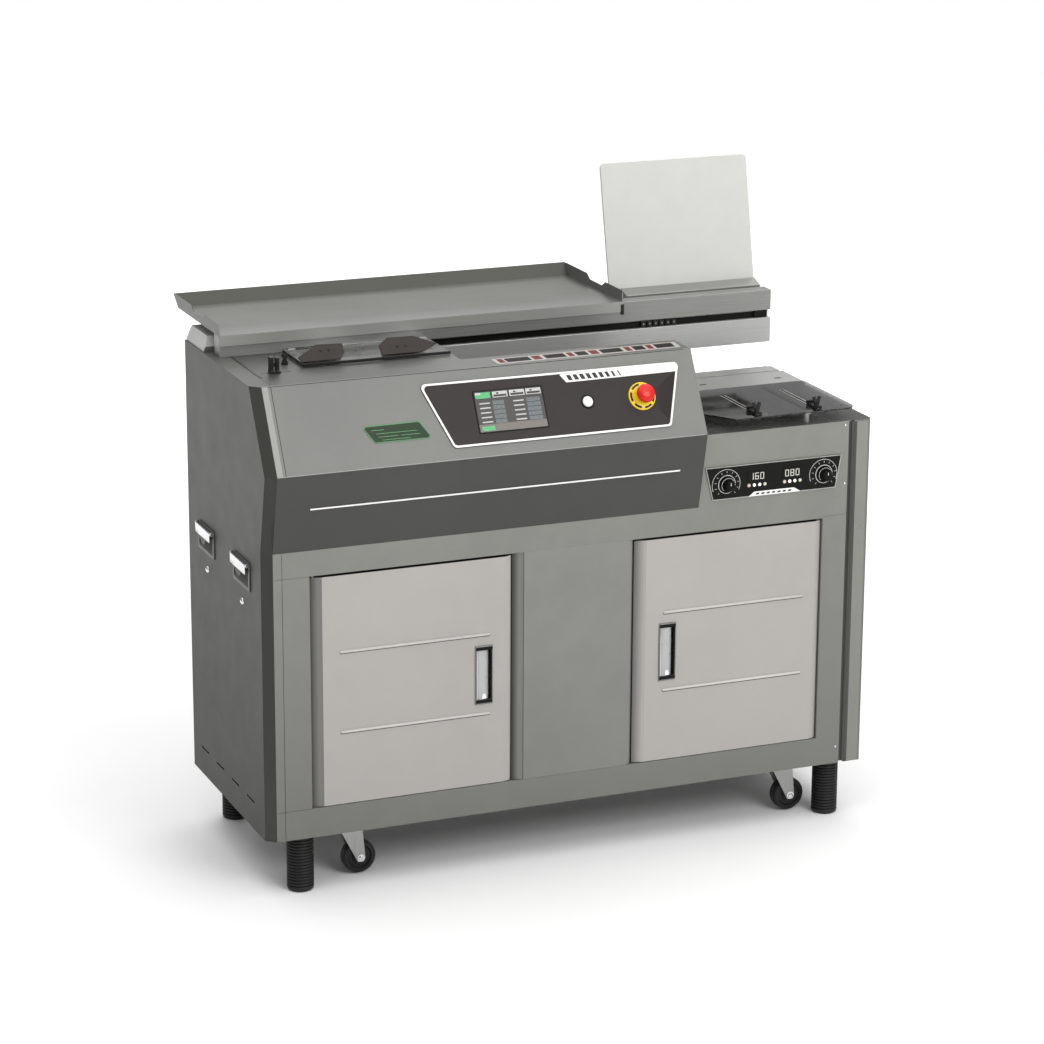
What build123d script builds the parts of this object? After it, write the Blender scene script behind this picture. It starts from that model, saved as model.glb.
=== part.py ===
from build123d import *
import os
import math

os.makedirs("parts", exist_ok=True)

# Perfect binding machine: a floor-standing sheet-metal cabinet with two hinged doors,
# an overhanging sloped control console on its left three quarters, a book clamp gantry
# with a leaning stop sheet on top, and a low cover table at its right end.
# Millimetres. While drawing, x = 0 is the outer face of the left side panel, y = 0 the
# front plane of the cabinet, z = 0 the cabinet's bottom edge. At the end everything is
# moved so that the origin is the bottom centre of the whole machine.

# ---------------------------------------------------------------- driving dimensions
LENGTH = 1250.0          # left panel face to right panel face
DEPTH = 465.5            # front plane to rear panel face
FLOOR_Z = -113.0         # floor below the cabinet's bottom edge
TOP_Z = 867.7            # top deck
CONSOLE_TOP_Y = 50.6     # front edge of the top deck
RIDGE_Y, RIDGE_Z = -34.4, 717.3   # ridge between the sloped panel and the lower panel
CONSOLE_BOTTOM_Z = 563.9
CONSOLE_END_X = 879.0    # right end of the console
PLATFORM_Z = 706.0       # top of the low right part
SHEET = 2.5              # panel thickness
CORNER_X, CORNER_Y = 18.8, 15.6   # bevel of the front left corner
DOOR_Z0, DOOR_Z1 = 57.9, 514.4    # height of the wide front opening
DOOR_X0, DOOR_X1 = 89.1, 1147.4
CENTRE_X0, CENTRE_X1 = 493.4, 745.6
DOOR_T = 20.0
DOOR_TOP_GAP = 4.5
DOOR_CHAMFER_X, DOOR_CHAMFER_Y = 22.5, 6.0
HINGE_IN_X, HINGE_IN_Y = 7.9, 7.3  # hinge axis from the opening's edge and the front plane
PIN_R = 2.5
RUN = 0.05               # radial running clearance

BEAM_Y0, BEAM_Y1 = 297.0, 329.0    # clamp gantry, front jaw
BEAM_END_X = 1171.0
SLOT_Z0, SLOT_Z1 = 852.0, TOP_Z    # long slot in the gantry's face
BEAM_BOTTOM_Z, BEAM_TOP_Z = 802.0, 908.5
TROUGH_X0, TROUGH_Y0, TROUGH_Y1 = 437.0, 123.0, 440.0
CLAMP_GAP = 8.0
JAW_X0, JAW_X1 = 872.0, 1166.0
JAW_TRAVEL = 40.0
SHEET_X0, SHEET_X1 = 847.5, 1165.5
SHEET_H, SHEET_T, SHEET_LEAN = 248.0, 5.0, 12.0
TRAY_X0, TRAY_X1, TRAY_Y0, TRAY_Y1, TRAY_Z = 17.0, 846.0, 295.5, 562.0, 910.0
SHUTTLE_TRAVEL = 800.0
TABLE_Z = 730.0          # top of the cover table at rest
TABLE_LIFT = 50.0
FOOT_R, CASTER_R = 26.0, 33.0
FEET = {"front_left": (75.0, 35.0), "front_right": (1188.0, 35.0),
        "rear_left": (75.0, 440.0), "rear_right": (1188.0, 440.0)}
CASTERS = {"front_left": (183.0, 72.0), "front_right": (1100.0, 72.0),
           "rear_left": (183.0, 400.0), "rear_right": (1100.0, 400.0)}
CASTER_TRAIL = 21.0
CASTER_Z = -78.0

PARTS = {}


# ---------------------------------------------------------------- helpers
def blk(x0, x1, y0, y1, z0, z1):
    return Pos(x0, y0, z0) * Box(x1 - x0, y1 - y0, z1 - z0, align=(Align.MIN, Align.MIN, Align.MIN))


def face3(pts):
    return make_face(Polyline(*[Vector(*p) for p in pts], close=True))


def prism_x(yz, x0, x1):
    return extrude(face3([(x0, y, z) for y, z in yz]), amount=x1 - x0, dir=(1, 0, 0))


def prism_y(xz, y0, y1):
    return extrude(face3([(x, y0, z) for x, z in xz]), amount=y1 - y0, dir=(0, 1, 0))


def prism_z(xy, z0, z1):
    return extrude(face3([(x, y, z0) for x, y in xy]), amount=z1 - z0, dir=(0, 0, 1))


def rod(p, axis, r, length):
    return Plane(origin=p, z_dir=axis) * Cylinder(r, length, align=(Align.CENTER, Align.CENTER, Align.MIN))


def cone(p, axis, r0, r1, length):
    return Plane(origin=p, z_dir=axis) * Cone(r0, r1, length, align=(Align.CENTER, Align.CENTER, Align.MIN))


def round_along(shape, direction, r, keep=lambda e: True):
    d = Vector(*direction).normalized()
    es = [e for e in shape.edges()
          if e.geom_type == GeomType.LINE and abs((e @ 1 - e @ 0).normalized().dot(d)) > 0.999 and keep(e)]
    return fillet(es, r) if es else shape


def add(name, shape):
    PARTS[name] = shape


def line_hit(p, d, q, e):
    # crossing of two lines in a plane, each a point and a direction
    det = d[0] * (-e[1]) + e[0] * d[1]
    t = ((q[0] - p[0]) * (-e[1]) + e[0] * (q[1] - p[1])) / det
    return (p[0] + t * d[0], p[1] + t * d[1])


# profile of the front, seen from the left: (y, z) from the bottom up
FRONT = [(0.0, 0.0), (0.0, CONSOLE_BOTTOM_Z), (RIDGE_Y, RIDGE_Z), (CONSOLE_TOP_Y, TOP_Z)]


def inset(profile, d):
    # the same profile moved d into the machine
    segs = []
    for a, b in zip(profile, profile[1:]):
        ux, uz = b[0] - a[0], b[1] - a[1]
        n = math.hypot(ux, uz)
        ux, uz = ux / n, uz / n
        segs.append(((a[0] + uz * d, a[1] - ux * d), (ux, uz)))
    out = [(segs[0][0][0], profile[0][1])]
    for (p, d1), (q, d2) in zip(segs, segs[1:]):
        out.append(line_hit(p, d1, q, d2))
    out.append(line_hit(segs[-1][0], segs[-1][1], (0.0, TOP_Z), (1.0, 0.0)))
    return out


INNER = inset(FRONT, CORNER_Y)

# frame of the sloped panel: s runs down the slope from its top edge, h outward
SLOPE_L = math.hypot(RIDGE_Y - CONSOLE_TOP_Y, RIDGE_Z - TOP_Z)
SDY, SDZ = (RIDGE_Y - CONSOLE_TOP_Y) / SLOPE_L, (RIDGE_Z - TOP_Z) / SLOPE_L
NORMAL = (0.0, SDZ, -SDY)


def on_slope(x, s, h=0.0):
    return (x, CONSOLE_TOP_Y + s * SDY + h * NORMAL[1], TOP_Z + s * SDZ + h * NORMAL[2])


def slope_plate(xs, h0, h1):
    return extrude(face3([on_slope(x, s, h0) for x, s in xs]), amount=h1 - h0, dir=NORMAL)


def slope_rod(x, s, r, h0, h1):
    return rod(on_slope(x, s, h0), NORMAL, r, h1 - h0)


# ---------------------------------------------------------------- control panel sizes
FASCIA = [(318.5, 22.5), (848, 24), (808, 149.5), (366.5, 150)]
SCREEN = (420.5, 561.0, 45.0, 128.0)          # x0, x1, s0, s1
START_XS = (647.0, 86.0)
ESTOP_XS = (758.0, 86.0)
START_R, ESTOP_STEM_R, ESTOP_R = 10.5, 8.0, 17.0
START_TRAVEL, ESTOP_TRAVEL = 3.0, 5.0

# ---------------------------------------------------------------- console
slope_sheet = prism_x([(CONSOLE_TOP_Y, TOP_Z), (RIDGE_Y, RIDGE_Z), (RIDGE_Y + 2.87, RIDGE_Z),
                       (CONSOLE_TOP_Y + 2.87, TOP_Z)], CORNER_X, CONSOLE_END_X)
for x0, x1, s0, s1 in (SCREEN,):
    slope_sheet -= slope_plate([(x0 + 2, s0 + 2), (x1 - 2, s0 + 2), (x1 - 2, s1 - 2), (x0 + 2, s1 - 2)], -8, 4)
slope_sheet -= slope_rod(*START_XS, START_R + RUN, -8, 4)
slope_sheet -= slope_rod(*ESTOP_XS, ESTOP_STEM_R + 3, -8, 4)
end_plate = prism_x([(CONSOLE_TOP_Y, TOP_Z), (RIDGE_Y, RIDGE_Z), (0, CONSOLE_BOTTOM_Z), (0, PLATFORM_Z),
                     (DEPTH - SHEET, PLATFORM_Z), (DEPTH - SHEET, TOP_Z)], CONSOLE_END_X - SHEET, CONSOLE_END_X)
end_plate -= blk(CONSOLE_END_X - 10, CONSOLE_END_X + 10, TROUGH_Y0, 461.5, 730, TOP_Z + 5)
lower_panel = prism_x([(RIDGE_Y, RIDGE_Z), (0, CONSOLE_BOTTOM_Z), (2.56, CONSOLE_BOTTOM_Z),
                       (RIDGE_Y + 2.56, RIDGE_Z)], CORNER_X, CONSOLE_END_X)
# raised stripe along the lower panel
sl = math.hypot(RIDGE_Y, RIDGE_Z - CONSOLE_BOTTOM_Z)
ldy, ldz = -RIDGE_Y / sl, (CONSOLE_BOTTOM_Z - RIDGE_Z) / sl
lnorm = (0, ldz, -ldy)
s_mid = 70.4


def on_lower(x, s, h=0.0):
    return (x, RIDGE_Y + s * ldy + h * lnorm[1], RIDGE_Z + s * ldz + h * lnorm[2])


stripe = extrude(face3([on_lower(x, s, -1.0) for x, s in
                        ((85.5, s_mid - 1.8), (829, s_mid - 1.8), (829, s_mid + 1.8), (85.5, s_mid + 1.8))]),
                 amount=2.2, dir=lnorm)
console_lower_panel = lower_panel + stripe
console_shell = (slope_sheet + end_plate) - lower_panel
add("console_shell", console_shell)
add("console_lower_panel", console_lower_panel)

# ---------------------------------------------------------------- left side
side = prism_x(INNER + [(DEPTH, TOP_Z), (DEPTH, 0)], 0, SHEET)
LATCHES = {"rear": (296.0, 396.0), "front": (76.0, 176.0)}   # y range of each pocket
LATCH_Z0, LATCH_Z1 = 472.0, 527.0
for y0, y1 in LATCHES.values():
    side -= blk(-5, 5, y0 + 4, y1 - 4, LATCH_Z0 + 4, LATCH_Z1 - 4)
STUDS = [(345.0, 440.0), (128.0, 440.0)]                      # y, z of the two round studs
for y0, y1 in ((366, 412), (268, 313), (173, 217), (77, 123)):
    side -= blk(-5, 5, y0, y1, 53.5, 57.0)

trim = None
for i in range(3):
    (ay, az), (by, bz) = FRONT[i], FRONT[i + 1]
    (cy, cz), (dy, dz) = INNER[i], INNER[i + 1]
    quad = face3([(CORNER_X, ay, az), (CORNER_X, by, bz), (0, dy, dz), (0, cy, cz)])
    strip = extrude(quad, amount=2.8, dir=(1, 1, 0))
    trim = strip if trim is None else trim + strip
trim -= blk(-5, 60, -100, 200, TOP_Z, TOP_Z + 50)
trim -= blk(-5, 60, -100, 200, -50, 0)
trim = trim - side - console_shell - console_lower_panel
bevel_k = (INNER[-1][0] - CONSOLE_TOP_Y) / CORNER_X
flange = prism_z([(1.0, INNER[-1][0] - bevel_k + 0.6), (CORNER_X, CONSOLE_TOP_Y + 0.6), (CORNER_X, CONSOLE_TOP_Y + 2.87),
                  (37.2, CONSOLE_TOP_Y + 2.87), (37.2, DEPTH), (1.0, DEPTH)], TOP_Z - SHEET, TOP_Z)
flange = flange - console_shell
left_side_panel = side + flange

# ---------------------------------------------------------------- front frame
frame = prism_y([(CORNER_X, 0), (1199, 0), (1199, PLATFORM_Z), (CONSOLE_END_X, PLATFORM_Z),
                 (CONSOLE_END_X, CONSOLE_BOTTOM_Z), (CORNER_X, CONSOLE_BOTTOM_Z)], 0, SHEET)
frame -= blk(DOOR_X0, DOOR_X1, -5, 10, DOOR_Z0, DOOR_Z1)
frame += blk(DOOR_X0 - 2, DOOR_X1 + 2, SHEET, 24, DOOR_Z1, DOOR_Z1 + 2)
frame += blk(DOOR_X0 - 2, DOOR_X1 + 2, SHEET, 24, DOOR_Z0 - 2, DOOR_Z0)
frame += blk(DOOR_X0 - 2, DOOR_X0, SHEET, 24, DOOR_Z0 - 2, DOOR_Z1 + 2)
frame += blk(DOOR_X1, DOOR_X1 + 2, SHEET, 24, DOOR_Z0 - 2, DOOR_Z1 + 2)
frame += blk(1196.5, 1199, SHEET, 10.5, 0, PLATFORM_Z - SHEET)
# narrow seams beside the openings
for x0, x1, z in ((CORNER_X, DOOR_X0, 514.0), (CORNER_X, DOOR_X0, 57.9), (DOOR_X1, 1199, 518.0)):
    frame -= blk(x0, x1, -1, 0.7, z - 0.6, z + 0.6)
LEFT_HINGE = (DOOR_X0 + HINGE_IN_X, HINGE_IN_Y)
RIGHT_HINGE = (DOOR_X1 - HINGE_IN_X, HINGE_IN_Y)
for hx, hy in (LEFT_HINGE, RIGHT_HINGE):
    frame += rod((hx, hy, DOOR_Z0 - 1), (0, 0, 1), PIN_R, 14)
    frame += rod((hx, hy, DOOR_Z1 + 1), (0, 0, -1), PIN_R, 14)
HEATER_KNOBS = {"left": (937.0, 605.0), "right": (1146.0, 605.0)}
for kx, kz in HEATER_KNOBS.values():
    frame -= rod((kx, -5, kz), (0, 1, 0), 3 + RUN, 12)
# the panel's front edge is folded back as a bevel
trim = trim - frame
add("left_side_panel", left_side_panel + trim)
add("front_frame", frame)

# ---------------------------------------------------------------- right side, rear, base, platform
right = prism_z([(1199, 8), (1209, 8), (1210.5, 0), (1245, 0), (LENGTH, 10), (LENGTH, DEPTH), (LENGTH - SHEET, DEPTH),
                 (LENGTH - SHEET, 10.8), (1244, SHEET), (1212.5, SHEET), (1211, 10.5), (1199, 10.5)],
                0, PLATFORM_Z - SHEET)
add("right_side_panel", right)

rear = prism_y([(SHEET, 0), (LENGTH - SHEET, 0), (LENGTH - SHEET, PLATFORM_Z - SHEET),
                (CONSOLE_END_X - SHEET, PLATFORM_Z - SHEET), (CONSOLE_END_X - SHEET, TOP_Z - SHEET),
                (SHEET, TOP_Z - SHEET)], DEPTH - SHEET, DEPTH)
for k in range(6):
    for cx in (250, 950):
        rear -= blk(cx - 60, cx + 60, DEPTH - 5, DEPTH + 5, 300 + 16 * k, 305 + 16 * k)
add("rear_panel", rear)

base = blk(SHEET, LENGTH - SHEET, SHEET, DEPTH - SHEET, 0, SHEET)
base -= blk(1190, LENGTH, 0, 12, -1, 5)
base -= prism_z([(0, 0), (26, 0), (0, 24)], -1, 5)
for fx, fy in FEET.values():
    base += rod((fx, min(max(fy, 27), DEPTH - 27), 0), (0, 0, 1), 22, 45)
for fx, fy in FEET.values():
    base -= rod((fx, fy, -5), (0, 0, 1), 10 + RUN, 80)
for cx, cy in CASTERS.values():
    base += rod((cx, cy, 0), (0, 0, 1), 16, 22)
for cx, cy in CASTERS.values():
    base -= rod((cx, cy, -5), (0, 0, 1), 7 + RUN, 60)
add("base_pan", base)

# shelf that carries the works above the two compartments, with the control enclosure,
# the lift drive of the cover table and the tank heater's transformer standing on it
SHELF_Z = 540.0
shelf = blk(SHEET, LENGTH - SHEET, SHEET, DEPTH - SHEET, SHELF_Z, SHELF_Z + SHEET)
shelf -= blk(1190, LENGTH, 0, 12, SHELF_Z - 1, SHELF_Z + 5)
shelf -= prism_z([(0, 0), (26, 0), (0, 24)], SHELF_Z - 1, SHELF_Z + 5)
enclosure = blk(470, 800, 150, 400, SHELF_Z + SHEET, 690)
drive = rod((1065, 150, 585), (0, 1, 0), 42, 150) + blk(1030, 1100, 165, 285, SHELF_Z + SHEET, 585)
transformer = blk(250, 370, 180, 290, SHELF_Z + SHEET, 640) + blk(262, 358, 170, 300, SHELF_Z + SHEET + 12, 628)
add("equipment_shelf", shelf + enclosure + drive + transformer)

COLUMNS = [(960.0, 320.0, 10.0), (1170.0, 320.0, 10.0), (1119.0, 27.0, 6.0)]   # x, y, radius of the lift columns
platform = prism_z([(CONSOLE_END_X, SHEET), (1199, SHEET), (1199, 8), (1209, 8), (1210.5, 0), (1245, 0), (LENGTH, 10),
                    (LENGTH, DEPTH), (CONSOLE_END_X, DEPTH)], PLATFORM_Z - SHEET, PLATFORM_Z)
for cx, cy, cr in COLUMNS:
    platform += rod((cx, cy, PLATFORM_Z - 32), (0, 0, 1), cr + 6, 31)
for cx, cy, cr in COLUMNS:
    platform -= rod((cx, cy, PLATFORM_Z - 60), (0, 0, 1), cr + RUN, 80)
add("platform_deck", platform)

# box column between the two doors
centre = prism_z([(CENTRE_X0 + 0.8, 6), (CENTRE_X0 + DOOR_CHAMFER_X, 0), (CENTRE_X1 - 14, 0), (CENTRE_X1 - 0.8, 6),
                  (CENTRE_X1 - 0.8, 240), (CENTRE_X1 - 3.3, 240), (CENTRE_X1 - 3.3, 8.2),
                  (CENTRE_X1 - 15, SHEET), (CENTRE_X0 + DOOR_CHAMFER_X + 1, SHEET), (CENTRE_X0 + 3.3, 8.2),
                  (CENTRE_X0 + 3.3, 240), (CENTRE_X0 + 0.8, 240)], DOOR_Z0, DOOR_Z1)
add("centre_panel", centre)

# ---------------------------------------------------------------- top deck
deck = blk(37.7, CONSOLE_END_X - SHEET, CONSOLE_TOP_Y + 2.87, DEPTH, TOP_Z - SHEET, TOP_Z)
deck -= blk(TROUGH_X0, CONSOLE_END_X + 10, TROUGH_Y0, TROUGH_Y1, TOP_Z - 10, TOP_Z + 5)
deck -= blk(170, 415, 205, 283, TOP_Z - 10, TOP_Z + 5)        # filling hole over the glue tank
deck += blk(TROUGH_X0, CONSOLE_END_X - SHEET, TROUGH_Y0 - 2.5, TROUGH_Y0, TOP_Z - 60, TOP_Z)
deck += blk(TROUGH_X0 - 2.5, TROUGH_X0, TROUGH_Y0 - 2.5, 290, TOP_Z - 40, TOP_Z)
GAUGE_XY = (76.5, 149.0)
WING_XY = (115.5, 206.0)
deck -= blk(49.5, 108, GAUGE_XY[1] - 2 - RUN, GAUGE_XY[1] + 2 + RUN, TOP_Z - 10, TOP_Z + 5)
deck -= rod((*WING_XY, TOP_Z - 10), (0, 0, 1), 2.5 + RUN, 20)
add("top_deck", deck)

# bevelled block at the left end of the gantry
eb = blk(3, 36, 352, DEPTH - 1, TOP_Z, TOP_Z + 28)
eb -= prism_y([(3, TOP_Z + 4), (14, TOP_Z + 28), (14, TOP_Z + 60), (-10, TOP_Z + 60), (-10, TOP_Z + 4)], 300, 500)
eb -= prism_x([(352, TOP_Z + 10), (367, TOP_Z + 28), (367, TOP_Z + 60), (330, TOP_Z + 60), (330, TOP_Z + 10)], -5, 60)
add("end_block", eb)

# ---------------------------------------------------------------- gantry
upper = blk(17, BEAM_END_X, BEAM_Y0, BEAM_Y1, SLOT_Z1, BEAM_TOP_Z)
upper -= blk(17 + 4, BEAM_END_X - 6, BEAM_Y0 + 5, BEAM_Y1 - 5, SLOT_Z1 + 5, BEAM_TOP_Z - 5)
upper += blk(TROUGH_X0 + 1, 1135, BEAM_Y0 + 9, BEAM_Y1, SLOT_Z0, SLOT_Z1)
for x in (60, 400, 800):
    upper += blk(x, x + 6, BEAM_Y1, 458, SLOT_Z1, BEAM_TOP_Z)
add("upper_beam", upper)

lower = blk(300, BEAM_END_X, BEAM_Y0, BEAM_Y1, BEAM_BOTTOM_Z, SLOT_Z0)
lower -= blk(306, BEAM_END_X - 6, BEAM_Y0 + 6, BEAM_Y1 - 6, BEAM_BOTTOM_Z + 6, SLOT_Z0 - 6)
lower += blk(310, 430, BEAM_Y0 + 3, BEAM_Y1 - 3, SLOT_Z0, TOP_Z - SHEET)
lower += blk(1150, BEAM_END_X, BEAM_Y0 + 12, BEAM_Y1, SLOT_Z0, SLOT_Z1)
add("lower_beam", lower)

RAIL_Y, RAIL_Z1, RAIL_Z2 = 427.0, 815.0, 838.0
JAW_ROD_Z = 857.5
JAW_ROD_X = (920.0, 1120.0)
rb = blk(90, BEAM_END_X, 440.5, 460.5, 800, TOP_Z - SHEET)
rb += blk(90, 100, 412, 440.5, 803, 850)
rb += blk(BEAM_END_X - 3, BEAM_END_X, BEAM_Y1, 440.5, BEAM_BOTTOM_Z, TOP_Z - SHEET)
add("gantry_rear_beam", rb)
add("guide_rods", [rod((100, RAIL_Y, RAIL_Z1), (1, 0, 0), 7, BEAM_END_X - 103),
                   rod((100, RAIL_Y, RAIL_Z2), (1, 0, 0), 7, BEAM_END_X - 103),
                   rod((JAW_ROD_X[0], BEAM_Y1, JAW_ROD_Z), (0, 1, 0), 6, 440.5 - BEAM_Y1),
                   rod((JAW_ROD_X[1], BEAM_Y1, JAW_ROD_Z), (0, 1, 0), 6, 440.5 - BEAM_Y1)])

# moving rear jaw with the ledge that carries the stop sheet
JY = BEAM_Y1 + CLAMP_GAP
jaw = prism_x([(JY, BEAM_BOTTOM_Z + 2), (JY + 15, BEAM_BOTTOM_Z + 2), (JY + 15, 872), (390, 872), (390, 914),
               (386, 920), (363, 920), (JY, 911)], JAW_X0, JAW_X1)
lean = math.radians(SHEET_LEAN)
sy, sz = math.sin(lean), math.cos(lean)


def on_sheet(t, d):
    # t up along the sheet from the ledge's top, d behind its front face
    return (366.0 + t * sy + d * sz, 920.0 + t * sz - d * sy)


jaw -= prism_x([on_sheet(-28, -0.05), on_sheet(30, -0.05), on_sheet(30, SHEET_T + 0.05), on_sheet(-28, SHEET_T + 0.05)],
               JAW_X0 - 1, JAW_X1 + 1)
for x in JAW_ROD_X:
    jaw -= rod((x, JY - 5, JAW_ROD_Z), (0, 1, 0), 6 + RUN, 40)
add("rear_jaw", jaw)
sheet = prism_x([on_sheet(-28, 0), on_sheet(SHEET_H, 0), on_sheet(SHEET_H, SHEET_T), on_sheet(-28, SHEET_T)],
                SHEET_X0, SHEET_X1)
sheet = round_along(sheet, (0, sz, -sy), 9, keep=lambda e: e.center().Z > 1000)
add("stop_sheet", sheet)

# ---------------------------------------------------------------- paper tray
T = 1.5
tray = prism_x([(TRAY_Y0, 889), (TRAY_Y0 + T, 889), (TRAY_Y0 + T, TRAY_Z - T), (TRAY_Y1, TRAY_Z - T),
                (591.5, 930.4), (590.6, 931.6), (561.5, TRAY_Z), (TRAY_Y0, TRAY_Z)], TRAY_X0, TRAY_X1)
wall = [(TRAY_Y0 + T, TRAY_Z - T), (TRAY_Y1, TRAY_Z - T), (592, 931), (575, 932), (474, 932), (458, 922), (398, 922),
        (380, 932), (TRAY_Y0 + T, 932)]
tray += prism_x(wall, TRAY_X0, TRAY_X0 + T)
tray += prism_x(wall, TRAY_X1 - T, TRAY_X1)
tray += blk(TRAY_X1 - 6, TRAY_X1, TRAY_Y0, TRAY_Y0 + T, 889, 905)
add("paper_tray", tray)

# ---------------------------------------------------------------- clear guard over the filling hole
GUARD_HINGE = (293.0, 871.9)
guard = blk(141, 432, 168, 289, 870, 874)
guard += blk(166, 414, 288, 293, 870, 873.8)
guard += rod((166, GUARD_HINGE[0], GUARD_HINGE[1]), (1, 0, 0), 3.8, 248)
guard -= rod((160, GUARD_HINGE[0], GUARD_HINGE[1]), (1, 0, 0), 2 + RUN, 260)
add("clamp_guard", guard)
hinge = None
for x0, x1 in ((150, 165), (415, 430)):
    h = rod((x0, GUARD_HINGE[0], GUARD_HINGE[1]), (1, 0, 0), 3.8, x1 - x0) + \
        blk(x0, x1, 289.6, 296.4, TOP_Z, GUARD_HINGE[1])
    hinge = h if hinge is None else hinge + h
hinge += rod((150, GUARD_HINGE[0], GUARD_HINGE[1]), (1, 0, 0), 2, 280)
add("guard_hinge", hinge)


def tab(leaf, screws, t_screw):
    # bent plate fixed to the guard, with a sloped, corner-cut leaf; leaf gives (x, distance up the slope)
    d = math.sqrt(0.5)
    y0, z0 = 178.0, 874.2
    low = [x for x, t in leaf if t < 5]
    foot = blk(min(low) + 6, max(low) - 6, y0 - 0.5, y0 + 18, 874, 876.5)
    sheet_ = extrude(face3([(x, y0 + t * d, z0 + t * d) for x, t in leaf]), amount=3, dir=(0, -d, d))
    t_ = foot + sheet_
    for xm in screws:
        t_ += rod((xm, y0 + t_screw * d - 2.5 * d, z0 + t_screw * d + 2.5 * d), (0, -d, d), 2.6, 2.1)
    return t_


TAB_LEAVES = [[(140, 0), (217, 0), (227, 13), (227, 33.5), (174, 35), (135, 11)],
              [(298, 0), (381, 0), (412, 15), (370, 36), (317.5, 37), (298, 22)]]
TAB_SCREWS = [((182.0, 198.0), 22.5), ((333.0, 350.5), 17.0)]
add("guard_tabs", [tab(leaf, sc, t) for leaf, (sc, t) in zip(TAB_LEAVES, TAB_SCREWS)])

# ---------------------------------------------------------------- side gauge and wing knob on the deck
gx, gy = GAUGE_XY
gauge = blk(gx - 10, gx + 10, gy - 9, gy + 9, TOP_Z + 0.3, TOP_Z + 4)
gauge += blk(gx - 10, gx - 3, gy - 6, gy + 6, TOP_Z + 4, TOP_Z + 31)
gauge += blk(gx + 2, gx + 8, gy - 6, gy + 6, TOP_Z + 4, TOP_Z + 29)
gauge += blk(gx - 9, gx + 8, gy - 3, gy + 3, TOP_Z + 12, TOP_Z + 20)
gauge += blk(gx - 8, gx + 8, gy - 2, gy + 2, TOP_Z - 6, TOP_Z + 1)
gauge += blk(gx - 10, gx + 10, gy - 6, gy + 6, TOP_Z - 6, TOP_Z - SHEET - 0.4)
add("side_gauge", gauge)
wx, wy = WING_XY
wing = rod((wx, wy, TOP_Z - 8), (0, 0, 1), 2.5, 12) + rod((wx, wy, TOP_Z + 0.4), (0, 0, 1), 6.5, 3)
wing += prism_y([(wx - 6, TOP_Z + 3), (wx - 2.8, TOP_Z + 10), (wx - 8, TOP_Z + 19), (wx - 4.5, TOP_Z + 20.5), (wx, TOP_Z + 13),
                 (wx + 4.5, TOP_Z + 20.5), (wx + 8, TOP_Z + 19), (wx + 2.8, TOP_Z + 10), (wx + 6, TOP_Z + 3)], wy - 2, wy + 2)
wing += rod((wx, wy, TOP_Z - 9), (0, 0, 1), 5, 3.5)
add("wing_knob", wing)

# ---------------------------------------------------------------- control panel
fascia = slope_plate(FASCIA, 0, 2)
fascia = round_along(fascia, NORMAL, 9)
x0, x1, s0, s1 = SCREEN
fascia -= slope_plate([(x0, s0), (x1, s0), (x1, s1), (x0, s1)], -3, 5)
fascia -= slope_rod(*START_XS, START_R + RUN, -3, 5)
fascia -= slope_rod(*ESTOP_XS, ESTOP_STEM_R + 3, -3, 5)
add("control_fascia", fascia)
screen = slope_plate([(x0 + 0.1, s0 + 0.1), (x1 - 0.1, s0 + 0.1), (x1 - 0.1, s1 - 0.1), (x0 + 0.1, s1 - 0.1)], 0, 2.6)
screen += slope_plate([(x0 + 2.2, s0 + 2.2), (x1 - 2.2, s0 + 2.2), (x1 - 2.2, s1 - 2.2), (x0 + 2.2, s1 - 2.2)], -14, 0)
add("touch_screen", screen)
button = slope_rod(*START_XS, START_R, -9, 5.5) + slope_rod(*START_XS, START_R + 2.5, -9, -6.5)
add("start_button", button)
collar = slope_rod(*ESTOP_XS, 27.5, 2, 6) + cone(on_slope(*ESTOP_XS, 6), NORMAL, 23, 16, 5)
collar += slope_rod(*ESTOP_XS, ESTOP_STEM_R + 2.9, -16, 2)
collar -= slope_rod(*ESTOP_XS, ESTOP_STEM_R + RUN, -30, 20)
add("estop_collar", collar)
mush = slope_rod(*ESTOP_XS, ESTOP_STEM_R, -14, 20) + cone(on_slope(*ESTOP_XS, 17), NORMAL, 13, ESTOP_R, 5) + \
    slope_rod(*ESTOP_XS, ESTOP_R, 22, 28) + cone(on_slope(*ESTOP_XS, 28), NORMAL, ESTOP_R, 12, 5)
add("estop_button", mush)

# ---------------------------------------------------------------- heater control
plate = prism_y([(891, 641), (1184, 641), (1172, 575), (907, 575)], -2, 0)
for kx, kz in HEATER_KNOBS.values():
    plate -= rod((kx, -5, kz), (0, 1, 0), 3 + RUN, 12)
for x in (984.3, 995.7, 1007.2, 1018.6, 1060.7, 1071.9, 1083.0, 1094.2):
    plate += rod((x, -2, 598), (0, -1, 0), 2.6, 1.2)
for x0, x1 in ((981, 1021), (1057, 1097)):
    plate += blk(x0, x1, -3, -2, 605.5, 626)
add("heater_plate", plate)
for side_name, (kx, kz) in HEATER_KNOBS.items():
    knob = rod((kx, -2.4, kz), (0, -1, 0), 15, 6) + cone((kx, -8.4, kz), (0, -1, 0), 13, 11, 12)
    knob += blk(kx - 1.3, kx + 1.3, -21.6, -8.4, kz, kz + 12)
    knob += rod((kx, -2.4, kz), (0, 1, 0), 3, 14)
    add("heater_knob_" + side_name, knob)

# ---------------------------------------------------------------- doors
HANDLE_H = (222.0, 339.0)


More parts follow.
